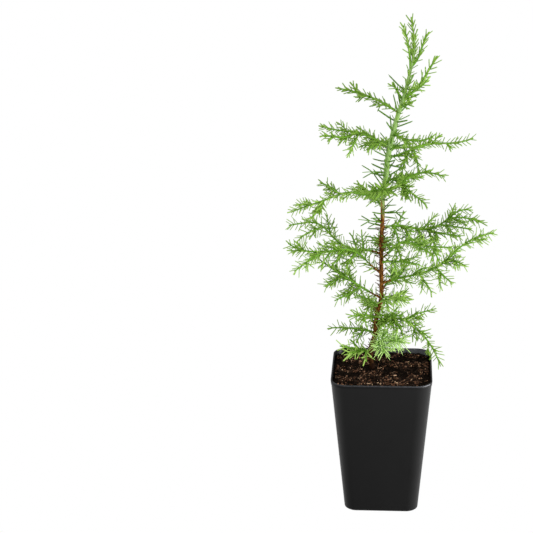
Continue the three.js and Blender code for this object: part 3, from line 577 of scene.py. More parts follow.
def bark_material(name):
    """Thin red-brown cypress bark that peels in strips, over green skin where it is young."""
    material, tree, output = new_material(name)
    where = add_node(tree, "ShaderNodeTexCoord", {}).outputs["Object"]
    stretched = add_node(tree, "ShaderNodeMapping", {
        "Vector": where, "Scale": (1, 1, 0.25)}).outputs["Vector"]
    strips = add_node(tree, "ShaderNodeTexNoise", {
        "Vector": stretched, "Scale": 1 / (1.2 * MM), "Detail": 5, "Roughness": 0.65})
    patches = add_node(tree, "ShaderNodeTexNoise", {
        "Vector": stretched, "Scale": 1 / (4 * MM), "Detail": 3})
    bark = add_node(tree, "ShaderNodeValToRGB", {"Fac": strips.outputs["Fac"]})
    bark.color_ramp.elements[0].position = 0.41
    bark.color_ramp.elements[0].color = linear("#331505")
    bark.color_ramp.elements[1].position = 0.63
    bark.color_ramp.elements[1].color = linear("#946329")
    skin = add_node(tree, "ShaderNodeMix", {
        "Factor": strips.outputs["Fac"], "A": linear("#527d27"), "B": linear("#a9c67f")},
        data_type="RGBA")
    age = add_node(tree, "ShaderNodeAttribute", {}, attribute_name="bark_age").outputs["Fac"]
    patchy = add_node(tree, "ShaderNodeMath", {0: age, 1: patches.outputs["Fac"]}, operation="ADD")
    brown = add_node(tree, "ShaderNodeMapRange", {0: patchy.outputs[0], 1: 0.85, 2: 1.15})
    tone = add_node(tree, "ShaderNodeMix", {
        "Factor": brown.outputs["Result"], "A": skin.outputs["Result"], "B": bark.outputs["Color"]},
        data_type="RGBA")
    # The foot darkens towards the mix over its lowest 38 mm
    height = add_node(tree, "ShaderNodeSeparateXYZ", {"Vector": where}).outputs["Z"]
    dry = add_node(tree, "ShaderNodeMapRange", {
        0: height, 1: SOIL + 3 * MM, 2: SOIL + 38 * MM, 3: 0.05})
    darker_foot = add_node(tree, "ShaderNodeMix", {
        "Factor": dry.outputs["Result"], "A": linear("#170907"), "B": tone.outputs["Result"]},
        data_type="RGBA")
    relief = add_node(tree, "ShaderNodeBump", {
        "Height": strips.outputs["Fac"], "Strength": 0.7, "Distance": 0.3 * MM})
    surface = add_node(tree, "ShaderNodeBsdfPrincipled", {
        "Base Color": darker_foot.outputs["Result"], "Roughness": 0.75, "Normal": relief.outputs["Normal"],
        "Specular IOR Level": 0.06})
    tree.links.new(surface.outputs["BSDF"], output.inputs["Surface"])
    return material


trunk = Path(smooth_line([(x, y, SOIL_MM + up) for up, x, y in TRUNK_LINE], LINE_STEPS))
stem = bmesh.new()
draw_limb(stem, trunk, trunk.length - STEM_TIP, leafy_radius, STEM_SIDES, trunk_age, STEM_RELIEF)
# The foot goes on down into the mix
bmesh.ops.translate(stem, vec=(0, 0, -STEM_FOOT_DEPTH), verts=stem.verts[:STEM_SIDES])
bmesh.ops.scale(stem, vec=(MM, MM, MM), verts=stem.verts)
cypress_bark = bark_material("cypress_bark")
trunk_piece = link_piece("trunk_bark", mesh_from(stem, "trunk_bark"), cypress_bark)
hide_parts("trunk")


# The side limbs. Some forty shoots leave the trunk on all sides, the larger ones as a bare
# brown bough that turns green and leafy further out. Each is worked out from its height on
# the trunk, its compass heading, its rise angles and its length, and forks where marked.
GROWTH_STEP = 2.5
# Clearance between a limb and the trunk, and between a bough and its leafy part
GAP = 0.3
# The radius that is kept off the trunk, of a limb that is leafy from its start and of a bough,
# and a bough's own radius: at no length, and what each millimetre of length adds
STEM_REACH = 1.05
BOUGH_REACH = (0.8, 0.004)
BOUGH_RADIUS = (0.7, 0.004)
BOUGH_TIP = 0.6
BOUGH_FLARE = 1.35
FLARE_REACH = 4
BOUGH_SIDES = 10
BOUGH_RELIEF = (0.9, 0.16)
# The bark goes on for a little way under the green twig that takes over from the bough
BARK_LAP = 5
# How far a bough is brown by its height on the trunk
BROWN_REACH = [(110, 13), (150, 2)]
# Feelers round a limb find the nearest place to its start that is clear of the trunk
FEELERS = 8
FEELER_STEP = 0.1
FEELER_REACH = (0.5, 25)
FIRST_SEED = 1000
SEEDS_APART = 10
# Heights, lengths and bare stretches are in mm, headings and rises in degrees, and turn is how
# far the heading has swung round at the tip. A fork has its place along the limb, its heading,
# its rises and its length, and its turn if it has one
LIMBS = [
    dict(name="skirt_left", up=20, heading=235, turn=10, rises=[15, 20, 20], length=37, forks=[
        (11, 225, [0, 10], 20),
        (6, 175, [-15, -40], 15),
        (14, 265, [60, 40], 15),
    ]),
    dict(name="skirt_front", up=27, heading=128, rises=[35, 0], length=44, forks=[
        (12, 165, [0, -30], 20),
        (18, 95, [20, 0], 20),
        (14, 145, [65, 35], 18),
    ]),
    dict(name="skirt_back", up=34, heading=20, rises=[15, 10], length=46, forks=[
        (16, 335, [20, 10], 24),
    ]),
    dict(name="low_left", up=40, heading=265, rises=[25, 5, 0], length=45, forks=[
        (12, 215, [-20, -50], 17),
    ]),
    dict(name="low_front_right", up=50, heading=125, rises=[40, 15], length=38, forks=[
        (10, 185, [50, 35], 15),
        (15, 118, [0, -40], 20),
        (22, 135, [60, 50], 15),
    ]),
    dict(name="low_front", up=57, heading=210, rises=[30, 20, 10], length=50, forks=[
        (26, 180, [0, -10], 16),
    ]),
    dict(name="low_right", up=61, heading=105, length=86, bare=11,
        rises=[-5, -5, -40, -55, -70], forks=[
        (30, 75, [45, 10, 10], 30),
        (22, 140, [10, -5], 20),
        (14, 115, [-35, -60], 22),
        (38, 120, [-60, -75], 17),
    ]),
    dict(name="low_back", up=64, heading=348, rises=[-5, -5], length=46, forks=[
        (20, 318, [0, -5], 18),
    ]),
    dict(name="low_left_second", up=69, heading=240, rises=[45, 35, 20], length=32),
    dict(name="mid_low_left", up=79, heading=262, rises=[30, 35, 35, 40], length=75, bare=18, forks=[
        (25, 225, [-25, -10, -15], 33, 15),
        (45, 235, [-10, -20], 24),
        (40, 295, [40, 20], 18),
        (36, 330, [65, 55], 18),
        (33, 230, [-55, -70], 18),
    ]),
    dict(name="mid_low_right", up=80, heading=80, rises=[0, 10, 25], length=27, forks=[
        (14, 110, [0, -10], 14),
    ]),
    dict(name="mid_low_front", up=76, heading=147, rises=[25, 15], length=44, forks=[
        (22, 120, [10, 5], 16),
    ]),
    dict(name="mid_low_back", up=88, heading=30, rises=[20, 5], length=52, bare=11, forks=[
        (20, 0, [15, 10], 24),
    ]),
    dict(name="wide_right", up=95, heading=90, turn=-10, length=126, bare=14,
        rises=[25, 10, 20, 50, 30, 0], forks=[
        (38, 120, [-35, -60], 24),
        (57, 130, [-35, -25], 23),
        (71, 110, [10, -20, -25], 21),
        (64, 50, [30, 20], 22),
        (102, 105, [10, 0], 14),
        (17, 55, [50, 40], 14),
        (33, 125, [50, 20], 20),
    ]),
    dict(name="wide_left", up=106, heading=250, turn=10, length=108, bare=27,
        rises=[40, 50, -5, 5, 40], forks=[
        (69, 225, [-5, -20, -30], 40, 10),
        (52, 285, [10, -5], 17),
        (88, 275, [5, -10], 15),
        (36, 235, [-40, -60], 20),
        (50, 245, [-60, -40], 20),
        (62, 250, [-45, -60], 18),
    ]),
    dict(name="mid_front", up=118, heading=120, rises=[20, 5, 0], length=44, forks=[
        (14, 170, [0, -15], 18),
        (22, 105, [20, 25], 18),
    ]),
    dict(name="mid_right", up=122, heading=120, turn=-15, length=83, bare=14,
        rises=[40, 50, -10, 5, 0], forks=[
        (36, 90, [35, -5], 15),
        (62, 140, [-35, -60], 18),
        (46, 135, [-15, -10], 18),
        (24, 130, [-60, -75], 18),
    ]),
    dict(name="mid_left", up=127, heading=290, turn=-10, length=106, bare=14,
        rises=[20, -10, 30, 50, -10, -15], forks=[
        (19, 345, [65, 50], 16),
        (26, 320, [60, 55], 16),
        (31, 255, [-15, -30], 16),
        (44, 250, [5, 10], 16),
        (58, 335, [60, 60], 18),
        (69, 260, [-20, -20, -55], 29),
    ]),
    dict(name="mid_back", up=136, heading=357, rises=[-10, -15], length=60, bare=11, forks=[
        (22, 25, [-10, -15], 20),
    ]),
    dict(name="high_right", up=156, heading=65, turn=15, length=98, bare=14,
        rises=[0, -10, -20, 25, 42, -15], forks=[
        (51, 125, [-15, 5, -5], 36, -10),
        (63, 110, [0, -5], 33),
        (71, 90, [25, -10, -25], 38),
        (44, 60, [45, 35], 18),
        (16, 40, [50, 45], 14),
        (12, 150, [-40, -65], 25),
        (23, 110, [-50, -70], 24),
        (38, 105, [-50, -75], 26),
        (49, 85, [-55, -75], 24),
    ]),
    dict(name="high_spur_left", up=160, heading=255, rises=[15, 10], length=25),
    dict(name="high_spur_right", up=171, heading=100, rises=[5, 0], length=22),
    dict(name="high_back_left", up=178, heading=332, rises=[12, 5], length=56, bare=11, forks=[
        (22, 0, [10, 0], 22),
        (32, 300, [5, -5], 20),
    ]),
    dict(name="high_left", up=183, heading=272, turn=5, length=97, bare=12,
        rises=[25, 10, -25, -20, -25], forks=[
        (44, 300, [35, 5], 25),
        (61, 250, [-70, -30], 22),
        (76, 295, [0, -10], 14),
    ]),
    dict(name="high_front", up=192, heading=180, rises=[25, 15], length=50, forks=[
        (16, 215, [15, 5], 22),
        (24, 150, [10, 5], 18),
    ]),
    dict(name="high_right_second", up=194, heading=95, length=66, bare=9,
        rises=[0, 50, 5, -25], forks=[
        (16, 125, [-10, -25, -35], 36),
        (23, 160, [-40, -50], 20),
    ]),
    dict(name="high_back", up=204, heading=40, rises=[-5, -10], length=47, forks=[
        (19, 10, [-10, -15], 22),
        (28, 70, [5, -15], 20),
    ]),
    dict(name="upper_spur_left", up=212, heading=250, rises=[10, 0], length=25),
    dict(name="upper_right", up=226, heading=75, turn=10, length=87, bare=10,
        rises=[15, 20, -5, 22], forks=[
        (22, 235, [-60, -80], 25),
        (27, 115, [-70, -80], 22),
    ]),
    dict(name="upper_back_right", up=236, heading=50, rises=[-5, -10], length=36),
    dict(name="upper_left", up=237, heading=258, turn=10, length=71, bare=8,
        rises=[35, 25, 5, 20], forks=[
        (14, 230, [-30, -40], 15),
        (20, 295, [35, 25], 15),
        (11, 190, [10, -10], 16),
        (34, 235, [-55, -60], 23),
        (38, 240, [-35, 15, 5], 35, 15),
    ]),
    dict(name="upper_back", up=241, heading=322, rises=[-10, -15], length=44, forks=[
        (20, 290, [-10, -20], 20),
    ]),
    dict(name="upper_front", up=251, heading=145, turn=-15, rises=[-10, 5, 30], length=58, forks=[
        (20, 175, [0, -5], 17),
    ]),
    dict(name="top_left", up=271, heading=285, rises=[33, 20, 5], length=62, bare=8),
    dict(name="top_front", up=277, heading=150, rises=[20, 30], length=22),
    dict(name="top_back", up=281, heading=25, rises=[25, 20], length=28),
    dict(name="top_right", up=285, heading=110, turn=-15, length=51, bare=7,
        rises=[32, 58, 60], forks=[
        (15, 135, [25, 50], 21),
    ]),
    dict(name="top_spur_left", up=291, heading=240, rises=[30, 30], length=19),
    dict(name="crown_left", up=313, heading=285, turn=-10, rises=[90, 80, 70], length=44),
    dict(name="crown_right", up=317, heading=80, turn=15, rises=[45, 75, 60], length=37),
    dict(name="crown_back", up=322, heading=5, rises=[55, 60], length=26),
]


def grow_path(start, heading, rises, length, turn=0):
    """A path whose rise passes through the given angles at equal steps of its length."""
    steps = max(3, round(length / GROWTH_STEP))
    share = (np.arange(steps) + 0.5) / steps
    rise = np.radians(np.interp(share * (len(rises) - 1), range(len(rises)), rises))
    course = np.radians(heading + turn * share)
    flat = np.cos(rise)
    ways = np.stack([np.sin(course) * flat, np.cos(course) * flat, np.sin(rise)], axis=1)
    return Path(np.vstack([start, start + np.cumsum(ways, axis=0) * length / steps]))


def trunk_at(up):
    """Distance along the trunk at a height above the mix."""
    s = np.interp(SOIL_MM + up, trunk.points[:, 2], trunk.lengths)
    return math.ceil(s / FEELER_STEP) * FEELER_STEP


def clear_of_trunk(path, reach):
    """How far along a limb its base stands clear of the trunk."""
    spots = trunk.at(np.arange(0, trunk.length, 1))[0]
    tries = np.arange(*FEELER_REACH, FEELER_STEP)
    point, _, side, across = path.at(tries)
    turns = np.arange(FEELERS)[:, None] * 2 * math.pi / FEELERS
    rim = point[:, None] + reach * (np.cos(turns) * side[:, None] + np.sin(turns) * across[:, None])
    apart = np.linalg.norm(rim[:, :, None] - spots, axis=3) - trunk_radius(spots[:, 2])
    return tries[np.argmax(apart.min(axis=(1, 2)) >= GAP)]


for index, limb in enumerate(LIMBS):
    bare = limb.get("bare", 0)
    limb["path"] = grow_path(
        trunk.at(trunk_at(limb["up"]))[0][0], limb["heading"], limb["rises"], limb["length"],
        limb.get("turn", 0))
    limb["thick"] = BOUGH_REACH[0] + BOUGH_REACH[1] * limb["length"] if bare else STEM_REACH
    limb["base"] = clear_of_trunk(limb["path"], limb["thick"])
    # A limb's stems are its own leafy part and its forks, each with the seed of its twigs
    seed = FIRST_SEED + SEEDS_APART * index
    limb["stems"] = [(limb["path"], bare + GAP if bare else limb["base"], seed)]
    for place, *course in limb.get("forks", []):
        seed += 1
        limb["stems"].append((grow_path(limb["path"].at(place)[0][0], *course), 0, seed))

boughs = bmesh.new()
for limb in LIMBS:
    if limb.get("bare"):
        bark_end = limb["bare"] + BARK_LAP
        thick = BOUGH_RADIUS[0] + BOUGH_RADIUS[1] * limb["length"]
        radii = (thick * BOUGH_FLARE, thick, BOUGH_TIP)
        brown = by_height(BROWN_REACH, limb["up"])
        draw_limb(
            boughs, limb["path"], bark_end,
            lambda s, z: np.interp(s, (0, FLARE_REACH, bark_end), radii), BOUGH_SIDES,
            lambda s, z: np.interp(s, (0, brown, 2 * brown), (1, 0.8, 0)), BOUGH_RELIEF)
bmesh.ops.scale(boughs, vec=(MM, MM, MM), verts=boughs.verts)
bough_piece = link_piece("bough_bark", mesh_from(boughs, "bough_bark"), cypress_bark)
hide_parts(*[f"bough_{limb['name']}" for limb in LIMBS if limb.get("bare")])


# The green twigs. Most limbs and forks carry side twigs that spiral by the golden angle and
# shorten to the tip, set by chance with a fixed start. Short spurs stand between them. A twig
# that would leave its limb's own space, or touch a limb, the mix or the pot, is left off.
GREEN_FROM = 183
CROWN_FROM = 300
# Owners of the marks that stand for the bare stem and boughs, and for the green leader
BARE = -1
LEADER = -2
# Limbs that, like the crown and the spurs, bear leaves alone and no side twigs
OPEN_LIMBS = ("low_front", "mid_front", "upper_front", "top_front", "top_back", "top_right")
# Marks along the trunk and every limb show whose space a place is in. A twig keeps this margin
# from the next limb's space, and these clearances from limbs, the rim and the mix
MARK_STEP = 2
MARGIN = 0.7
LIMB_CLEAR = 0.9
RIM_CLEAR = 1.2
SOIL_CLEAR = 3.2
# Twigs turn round their stem and curve forward by these degrees, and get shorter to its tip by
# this share. Chance moves them along in gaps and round in degrees, and alters their length
GOLDEN_ANGLE = 137.5
TWIG_BENDS = (55, 48, 41, 34)
TIP_SHORTENING = 0.5
GAP_CHANCE = 0.3
ROLL_CHANCE = 60
LENGTH_CHANCE = 0.4
# Ranks of the side twigs and of the short spurs, what each adds to its stem's seed, and how
# they stand: the gap between them, the bare stretches at both ends, and their length
TWIG_KINDS = [
    (2, 0, dict(gap=15, first=7, last=13, long=14.5)),
    (3, 5, dict(gap=28, first=4, last=12, long=10)),
]
# The green skin begins a little way back under the end of the bark
SKIN_LAP = 4
TUBE_SIDES = 5
TUBE_STEP = 2.5
# Radii at the base and the tip of limbs, forks, twigs and spurs, and of the leader's own spurs
SHOOT_RADII = [(1.35, 0.75), (1.15, 0.68), (0.75, 0.5), (0.6, 0.42)]
SPUR_RADII = (0.7, 0.35)

spots = [(point, LEADER if point[2] - SOIL_MM > GREEN_FROM else BARE, trunk_radius(point[2]))
         for point in trunk.at(np.arange(0, trunk.length, MARK_STEP))[0]]
for index, limb in enumerate(LIMBS):
    for s in np.arange(limb["base"], limb.get("bare", 0), MARK_STEP):
        spots.append((limb["path"].at(s)[0][0], BARE, limb["thick"]))
    for path, start, _ in limb["stems"]:
        for s in np.arange(start, path.length + MARK_STEP, MARK_STEP):
            spots.append((path.at(min(s, path.length))[0][0], index, 0))
mark_place, mark_owner, mark_radius = (np.array(column) for column in zip(*spots))


def in_space(points, owner, shared=False):
    """Whether points lie in their owner's space, clear of other limbs, the mix and the pot.

    Needles share the space between the limbs, and only have to be clear of what is solid.
    """
    apart = np.linalg.norm(points[:, None] - mark_place, axis=2)
    mine = mark_owner == owner
    rival = ~mine & (mark_owner != BARE)
    solid = mark_radius > 0 if shared else ~mine
    free = ~(solid & ~mine & (apart < mark_radius + LIMB_CLEAR)).any(axis=1)
    if not shared:
        own = np.where(mine, apart, np.inf).min(axis=1)
        other = np.where(rival, apart, np.inf).min(axis=1)
        free &= own + MARGIN <= other
    out = np.abs(points[:, :2]).max(axis=1)
    rim = RIM_WIDTH / MM / 2
    floor = np.where(out < rim - 2 * WALL / MM, SOIL_MM + SOIL_CLEAR, POT_HEIGHT / MM + RIM_CLEAR)
    return free & ((out >= rim + RIM_CLEAR) | (points[:, 2] > floor))


def seeded(seed):
    """Repeatable numbers from 0 to 1."""
    state = seed
    while True:
        state = (state * 1664525 + 1013904223) % 2 ** 32
        yield state / 2 ** 32


def side_twigs(path, start, seed, owner, gap, first, last, long):
    """Twigs set along a stem by the seeded rule, each curving forward from 55 to 34 degrees."""
    chance = seeded(seed)
    twigs = []
    count = 0
    while start + first + count * gap < path.length - last:
        s = start + first + (count + GAP_CHANCE * (next(chance) - 0.5)) * gap
        roll = math.radians(GOLDEN_ANGLE * count + ROLL_CHANCE * next(chance))
        length = long * (1 + LENGTH_CHANCE * (next(chance) - 0.5))
        length = length * (1 - TIP_SHORTENING * s / path.length)
        point, along, side, across = (row[0] for row in path.at(s))
        out = math.cos(roll) * side + math.sin(roll) * across
        bends = np.radians(TWIG_BENDS)[:, None]
        steps = (np.cos(bends) * along + np.sin(bends) * out) * length / len(TWIG_BENDS)
        points = np.vstack([point, point + np.cumsum(steps, axis=0)])
        if in_space(points[2:], owner).all():
            twigs.append(Path(points))
        count += 1
    return twigs


# Each shoot: its path, where its skin and its leaves begin, its limb, and its rank, which is
# 0 for a limb, 1 for a fork, 2 for a twig and 3 for a spur
shoots = []
for index, limb in enumerate(LIMBS):
    leaves_alone = (
        limb["up"] >= CROWN_FROM or "spur" in limb["name"] or limb["name"] in OPEN_LIMBS)
    for number, (path, start, seed) in enumerate(limb["stems"]):
        skin_from = max(0, start - SKIN_LAP) if limb.get("bare") and number == 0 else 0
        shoots.append((path, skin_from, start, index, min(number, 1)))
        if not leaves_alone:
            for rank, seed_step, measures in TWIG_KINDS:
                grown = side_twigs(path, start, seed + seed_step, index, **measures)
                shoots += [(twig, 0, 0, index, rank) for twig in grown]


def thin_stem(path, start, thick, thin):
    """Corners and faces of a thin round stem along a path, closed at its ends."""
    count = max(3, round((path.length - start) / TUBE_STEP))
    point, _, side, across = path.at(np.linspace(start, path.length, count))
    turns = 2 * math.pi * np.arange(TUBE_SIDES)[:, None] / TUBE_SIDES
    reach = np.linspace(thick, thin, count)[:, None, None]
    out = np.cos(turns) * side[:, None] + np.sin(turns) * across[:, None]
    corners = point[:, None] + reach * out
    a = np.arange(TUBE_SIDES)
    b = (a + 1) % TUBE_SIDES
    faces = []
    for low in range(0, (count - 1) * TUBE_SIDES, TUBE_SIDES):
        quads = [low + a, low + b, low + b + TUBE_SIDES, low + a + TUBE_SIDES]
        faces += np.stack(quads, axis=1).tolist()
    faces += [a[::-1].tolist(), (a + (count - 1) * TUBE_SIDES).tolist()]
    return corners.reshape(-1, 3), faces


twig_corners = []
twig_faces = []
corner_count = 0
for path, skin_from, _, owner, rank in shoots:
    radii = SPUR_RADII if "spur" in LIMBS[owner]["name"] else SHOOT_RADII[rank]
    corners, faces = thin_stem(path, skin_from, *radii)
    twig_corners.append(corners)
    twig_faces += [[corner + corner_count for corner in face] for face in faces]
    corner_count += len(corners)
twig_mesh = bpy.data.meshes.new("green_twigs")
twig_mesh.from_pydata((np.vstack(twig_corners) * MM).tolist(), [], twig_faces)
twig_mesh.shade_smooth()

green_skin, tree, output = new_material("green_twig_skin")
# Young twigs: green skin ribbed with leaf bases, less blue and a little duller than the leaves
where = add_node(tree, "ShaderNodeTexCoord", {}).outputs["Object"]
mottle = add_node(tree, "ShaderNodeTexNoise", {
    "Vector": where, "Scale": 1 / (6 * MM), "Detail": 3})
scales = add_node(tree, "ShaderNodeTexVoronoi", {"Vector": where, "Scale": 1 / (1.2 * MM)})
sheen = add_node(tree, "ShaderNodeMapRange", {
    "Value": mottle.outputs["Fac"], "To Min": 0.5, "To Max": 0.7})
relief = add_node(tree, "ShaderNodeBump", {
    "Height": scales.outputs["Distance"], "Strength": 0.4, "Distance": 0.2 * MM})
surface = add_node(tree, "ShaderNodeBsdfPrincipled", {
    "Base Color": linear("#69992a"), "Roughness": sheen.outputs["Result"],
    "Normal": relief.outputs["Normal"], "Specular IOR Level": 0.2})
tree.links.new(surface.outputs["BSDF"], output.inputs["Surface"])
twigs = link_piece("green_twigs", twig_mesh, green_skin)
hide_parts(*[f"foliage_{limb['name']}" for limb in LIMBS])


# The needles. Young leaves of a cypress: stiff awls, most 6 to 11 mm long, in whorls of three
# that close to a tuft at each tip. Their greens differ from spray to spray. The lowest shoots
# carry longer, paler ones, and the stem the longest and darkest.
LEAF_GREENS = {
    "dark": "#557f20", "deep": "#739735", "mid": "#7ca13a", "fresh": "#91b552", "pale": "#b8dc80",
    "bright": "#a6ca60", "dry": "#5c3d16"}
NEEDLE_WIDTH = 1.3
NEEDLE_THICK = 0.9
WHORL_GAP = 4
WHORL_TURN = 60
SPREAD = 64
# Over its last stretch a shoot's needles close forward into a tuft and get shorter
TUFT = 7
TUFT_SPREAD = 20
TUFT_SHORTENING = 4.9
TUFT_LENGTH = 0.62
LAST_WHORL = 0.3
# A needle's root sits this share of the stem's radius out, and a needle is left off where its
# tip, or the place this share of the way up, isn't clear
ROOT_OUT = 0.5
TEST_AT = 0.7
# Keeps the side direction of a needle that lies straight along its stem from being nothing
NUDGE = 1e-6
# How far chance moves a needle: along in gaps, round in radians, forward in degrees, and its bow
ALONG_CHANCE = 0.25
ROUND_CHANCE = 0.22
FORWARD_CHANCE = 7
BOW_CHANCE = 0.07
# Degrees that a stray needle leans forward or back for each radian that it swings round
STRAY_ROUND = 30
LENGTH_RANGE = (0.8, 1.16)
WIDTH_RANGE = (0.85, 1.15)
# Half widths along a needle, from its root to its point, as shares of the widest
NEEDLE_PROFILE = [(0, 0.85), (0.35, 1), (0.88, 0.85)]


def needle_shape():
    """Corners (across, through, along) and faces of one needle with a kite-shaped section."""
    corners = []
    for along, wide in NEEDLE_PROFILE:
        corners += [(wide, 0, along), (0, wide, along), (-wide, 0, along), (0, -wide, along)]
    corners.append((0, 0, 1))
    faces = [(2, 1, 0), (3, 2, 0)]
    for ring in range(len(NEEDLE_PROFILE) - 1):
        for k in range(4):
            a = 4 * ring + k
            b = 4 * ring + (k + 1) % 4
            faces += [(a, b, b + 4), (a, b + 4, a + 4)]
    last = 4 * (len(NEEDLE_PROFILE) - 1)
    faces += [(last + k, last + (k + 1) % 4, last + 4) for k in range(4)]
    return np.array(corners, float), np.array(faces)


needle_corners, needle_faces = needle_shape()


def whorls(
        path, start, owner, chance, long, end=None, gap=WHORL_GAP, leaves=3, radius=0.4,
        spread=SPREAD, width=NEEDLE_WIDTH, thick=NEEDLE_THICK, bend=0.04, stray=0):
    """Corners of the needles set round a shoot in whorls, its last ones closing to a tuft."""
    stations = np.arange(start, end or path.length - LAST_WHORL, gap)
    count = len(stations) * leaves
    s = np.repeat(stations, leaves) + chance.uniform(-ALONG_CHANCE, ALONG_CHANCE, count) * gap
    turn = np.radians(WHORL_TURN) * np.repeat(np.arange(len(stations)), leaves)
    turn = turn + 2 * math.pi / leaves * np.tile(np.arange(leaves), len(stations))
    turn = (turn + chance.normal(0, ROUND_CHANCE, count) + chance.uniform(0, math.pi))[:, None]
    point, along, side, across = path.at(s)
    out = np.cos(turn) * side + np.sin(turn) * across
    left = path.length - s
    angle = np.interp(left, (0, TUFT), (TUFT_SPREAD, spread)) + chance.normal(0, FORWARD_CHANCE, count)
    angle = np.radians(angle)[:, None]
    if stray:
        angle = angle + np.radians(chance.normal(0, stray, count))[:, None]
        out = unit(out + np.cross(along, out) * chance.normal(0, stray / STRAY_ROUND, count)[:, None])
    aim = np.cos(angle) * along + np.sin(angle) * out
    length = long * chance.uniform(*LENGTH_RANGE, count)
    length = (length * np.interp(left, (0, TUFT_SHORTENING), (TUFT_LENGTH, 1)))[:, None]
    root = point + out * radius * ROOT_OUT
    tests = np.vstack([root + aim * length * TEST_AT, root + aim * length])
    keep = in_space(tests, owner, shared=True).reshape(2, -1).all(axis=0)
    root, aim, along, length = root[keep], aim[keep], along[keep], length[keep]
    wide = unit(np.cross(aim, along) + NUDGE)
    flat = np.cross(aim, wide)
    bow = chance.normal(bend, BOW_CHANCE, len(root))[:, None] * along
    u, v, w = needle_corners.T
    half = chance.uniform(*WIDTH_RANGE, (len(root), 1, 1)) / 2
    spine = w[:, None] * aim[:, None] + (w ** 2)[:, None] * bow[:, None]
    return root[:, None] + length[:, None] * spine + half * (
        width * u[:, None] * wide[:, None] + thick * v[:, None] * flat[:, None])


# Leaves on the brown stretch of each bough, long and close on some
BOUGH_LEAVES = dict(long=8.5, gap=4.5)
LEAFY_BOUGHS = ("wide_left", "upper_left", "high_left")
LEAFY_BOUGH_LEAVES = dict(long=12, gap=3.2)
# How far from its base a bough's first leaves stand, and from its start a shoot's
BOUGH_LEAVES_FROM = 2
FIRST_WHORL = 1.2
# Usual leaves by their limb's height: length, width and spread, and the shares of that length
# that a limb, a fork, a twig and a spur have
LEAF_LENGTHS = [(80, 9.7), (160, 8.2), (300, 7.2)]
LEAF_WIDTHS = [(120, 1.25), (240, 1.5)]
LEAF_SPREADS = [(80, SPREAD), (160, 58), (240, 54)]
RANK_SHARES = np.array([1, 1, 0.95, 0.88])
# Leaves that differ: their green, or None for their spray's, their lengths on a limb and its
# forks, and its twigs and spurs if it has any, and the measures of their whorls
OWN_LEAVES = {
    "skirt_left": ("bright", (10.5, 10.5, 9.45, 8.4), dict(gap=7, spread=60, width=1.8)),
    "skirt_front": ("pale", (14, 14, 12.6, 11.2), dict(gap=2.1, spread=72, width=0.75)),
    # high_front's deep green is painted shade on that front spray
    "high_front": ("deep", (13, 13, 9, 8), dict(gap=8, spread=50, width=1.7, thick=1.3)),
    "top_spur_left": ("mid", (7, 7), dict(gap=4.2, spread=45)),
}
SPUR_LEAVES = ("dark", (11, 11), dict(gap=11, leaves=2, spread=38, width=1.6, thick=1.3))
TOP_FROM = 260
TOP_LEAVES = (None, (8.8, 8.8, 8.8, 8.8), dict(gap=5.2, spread=42, width=1.7, thick=1.1))
CROWN_LEAVES = (None, (7.6, 7.6), dict(gap=5.3, spread=32, width=1.7, thick=1.1))
# Greens dealt out to the sprays by chance; the upper half gets deeper ones, painted shade that keeps
# it from looking brighter under the light from above
LOW_GREENS = {"deep": 0.12, "mid": 0.45, "fresh": 0.43}
HIGH_SHADED_GREENS = {"deep": 0.28, "mid": 0.57, "fresh": 0.15}
HIGH_FROM = 150
# Leaves on the stem itself, from the dry ones at its foot to the tuft at its tip: their colour,
# from and to which height they stand, and the measures of their whorls
STEM_LEAVES = [
    ("dry", 12, 165, dict(long=6.5, gap=3.6, radius=2.2, spread=68, width=1.4)),
    ("dark", 126, 182, dict(
        long=16, gap=4.4, leaves=2, radius=2, spread=78, width=1.6, thick=1.3, stray=14)),
    ("dark", 184, 238, dict(
        long=16, gap=5, radius=2.6, spread=74, width=1.7, thick=1.5, bend=0.15, stray=14)),
    ("dark", 240, 300, dict(
        long=18, gap=8, radius=2.6, spread=68, width=1.8, thick=1.6, bend=0.15, stray=16)),
    ("mid", 186, 285, dict(long=7, gap=6, radius=1.6, spread=42)),
    ("mid", 285, 330, dict(long=7.5, gap=4.5, radius=1.2, spread=46)),
    ("deep", 330, 362, dict(long=8.5, gap=4.2, radius=0.8, spread=30, width=1.6, thick=1.2)),
]


def limb_leaves(name, up):
    """The green, the lengths by rank and the measures of the leaves on one limb."""
    if name in OWN_LEAVES:
        return OWN_LEAVES[name]
    if "spur" in name:
        return SPUR_LEAVES
    if up > CROWN_FROM:
        return CROWN_LEAVES
    if up > TOP_FROM:
        return TOP_LEAVES
    lengths = by_height(LEAF_LENGTHS, up) * RANK_SHARES
    return None, lengths, dict(spread=by_height(LEAF_SPREADS, up), width=by_height(LEAF_WIDTHS, up))


needles = {name: [] for name in LEAF_GREENS}
chance = np.random.default_rng(77)
for index, limb in enumerate(LIMBS):
    if limb.get("bare"):
        measures = LEAFY_BOUGH_LEAVES if limb["name"] in LEAFY_BOUGHS else BOUGH_LEAVES
        needles["mid"].append(whorls(
            limb["path"], limb["base"] + BOUGH_LEAVES_FROM, index, chance, end=limb["bare"],
            **measures))
for path, _, start, owner, rank in shoots:
    up = LIMBS[owner]["up"]
    if rank < 2:
        greens = HIGH_SHADED_GREENS if up > HIGH_FROM else LOW_GREENS
        spray_green = chance.choice(list(greens), p=list(greens.values()))
    own_green, lengths, measures = limb_leaves(LIMBS[owner]["name"], up)
    needles[own_green or spray_green].append(whorls(
        path, start + FIRST_WHORL, owner, chance, lengths[rank], **measures))
for green, low, high, measures in STEM_LEAVES:
    owner = LEADER if low > GREEN_FROM else BARE
    needles[green].append(whorls(
        trunk, trunk_at(low), owner, chance, end=trunk_at(high), **measures))

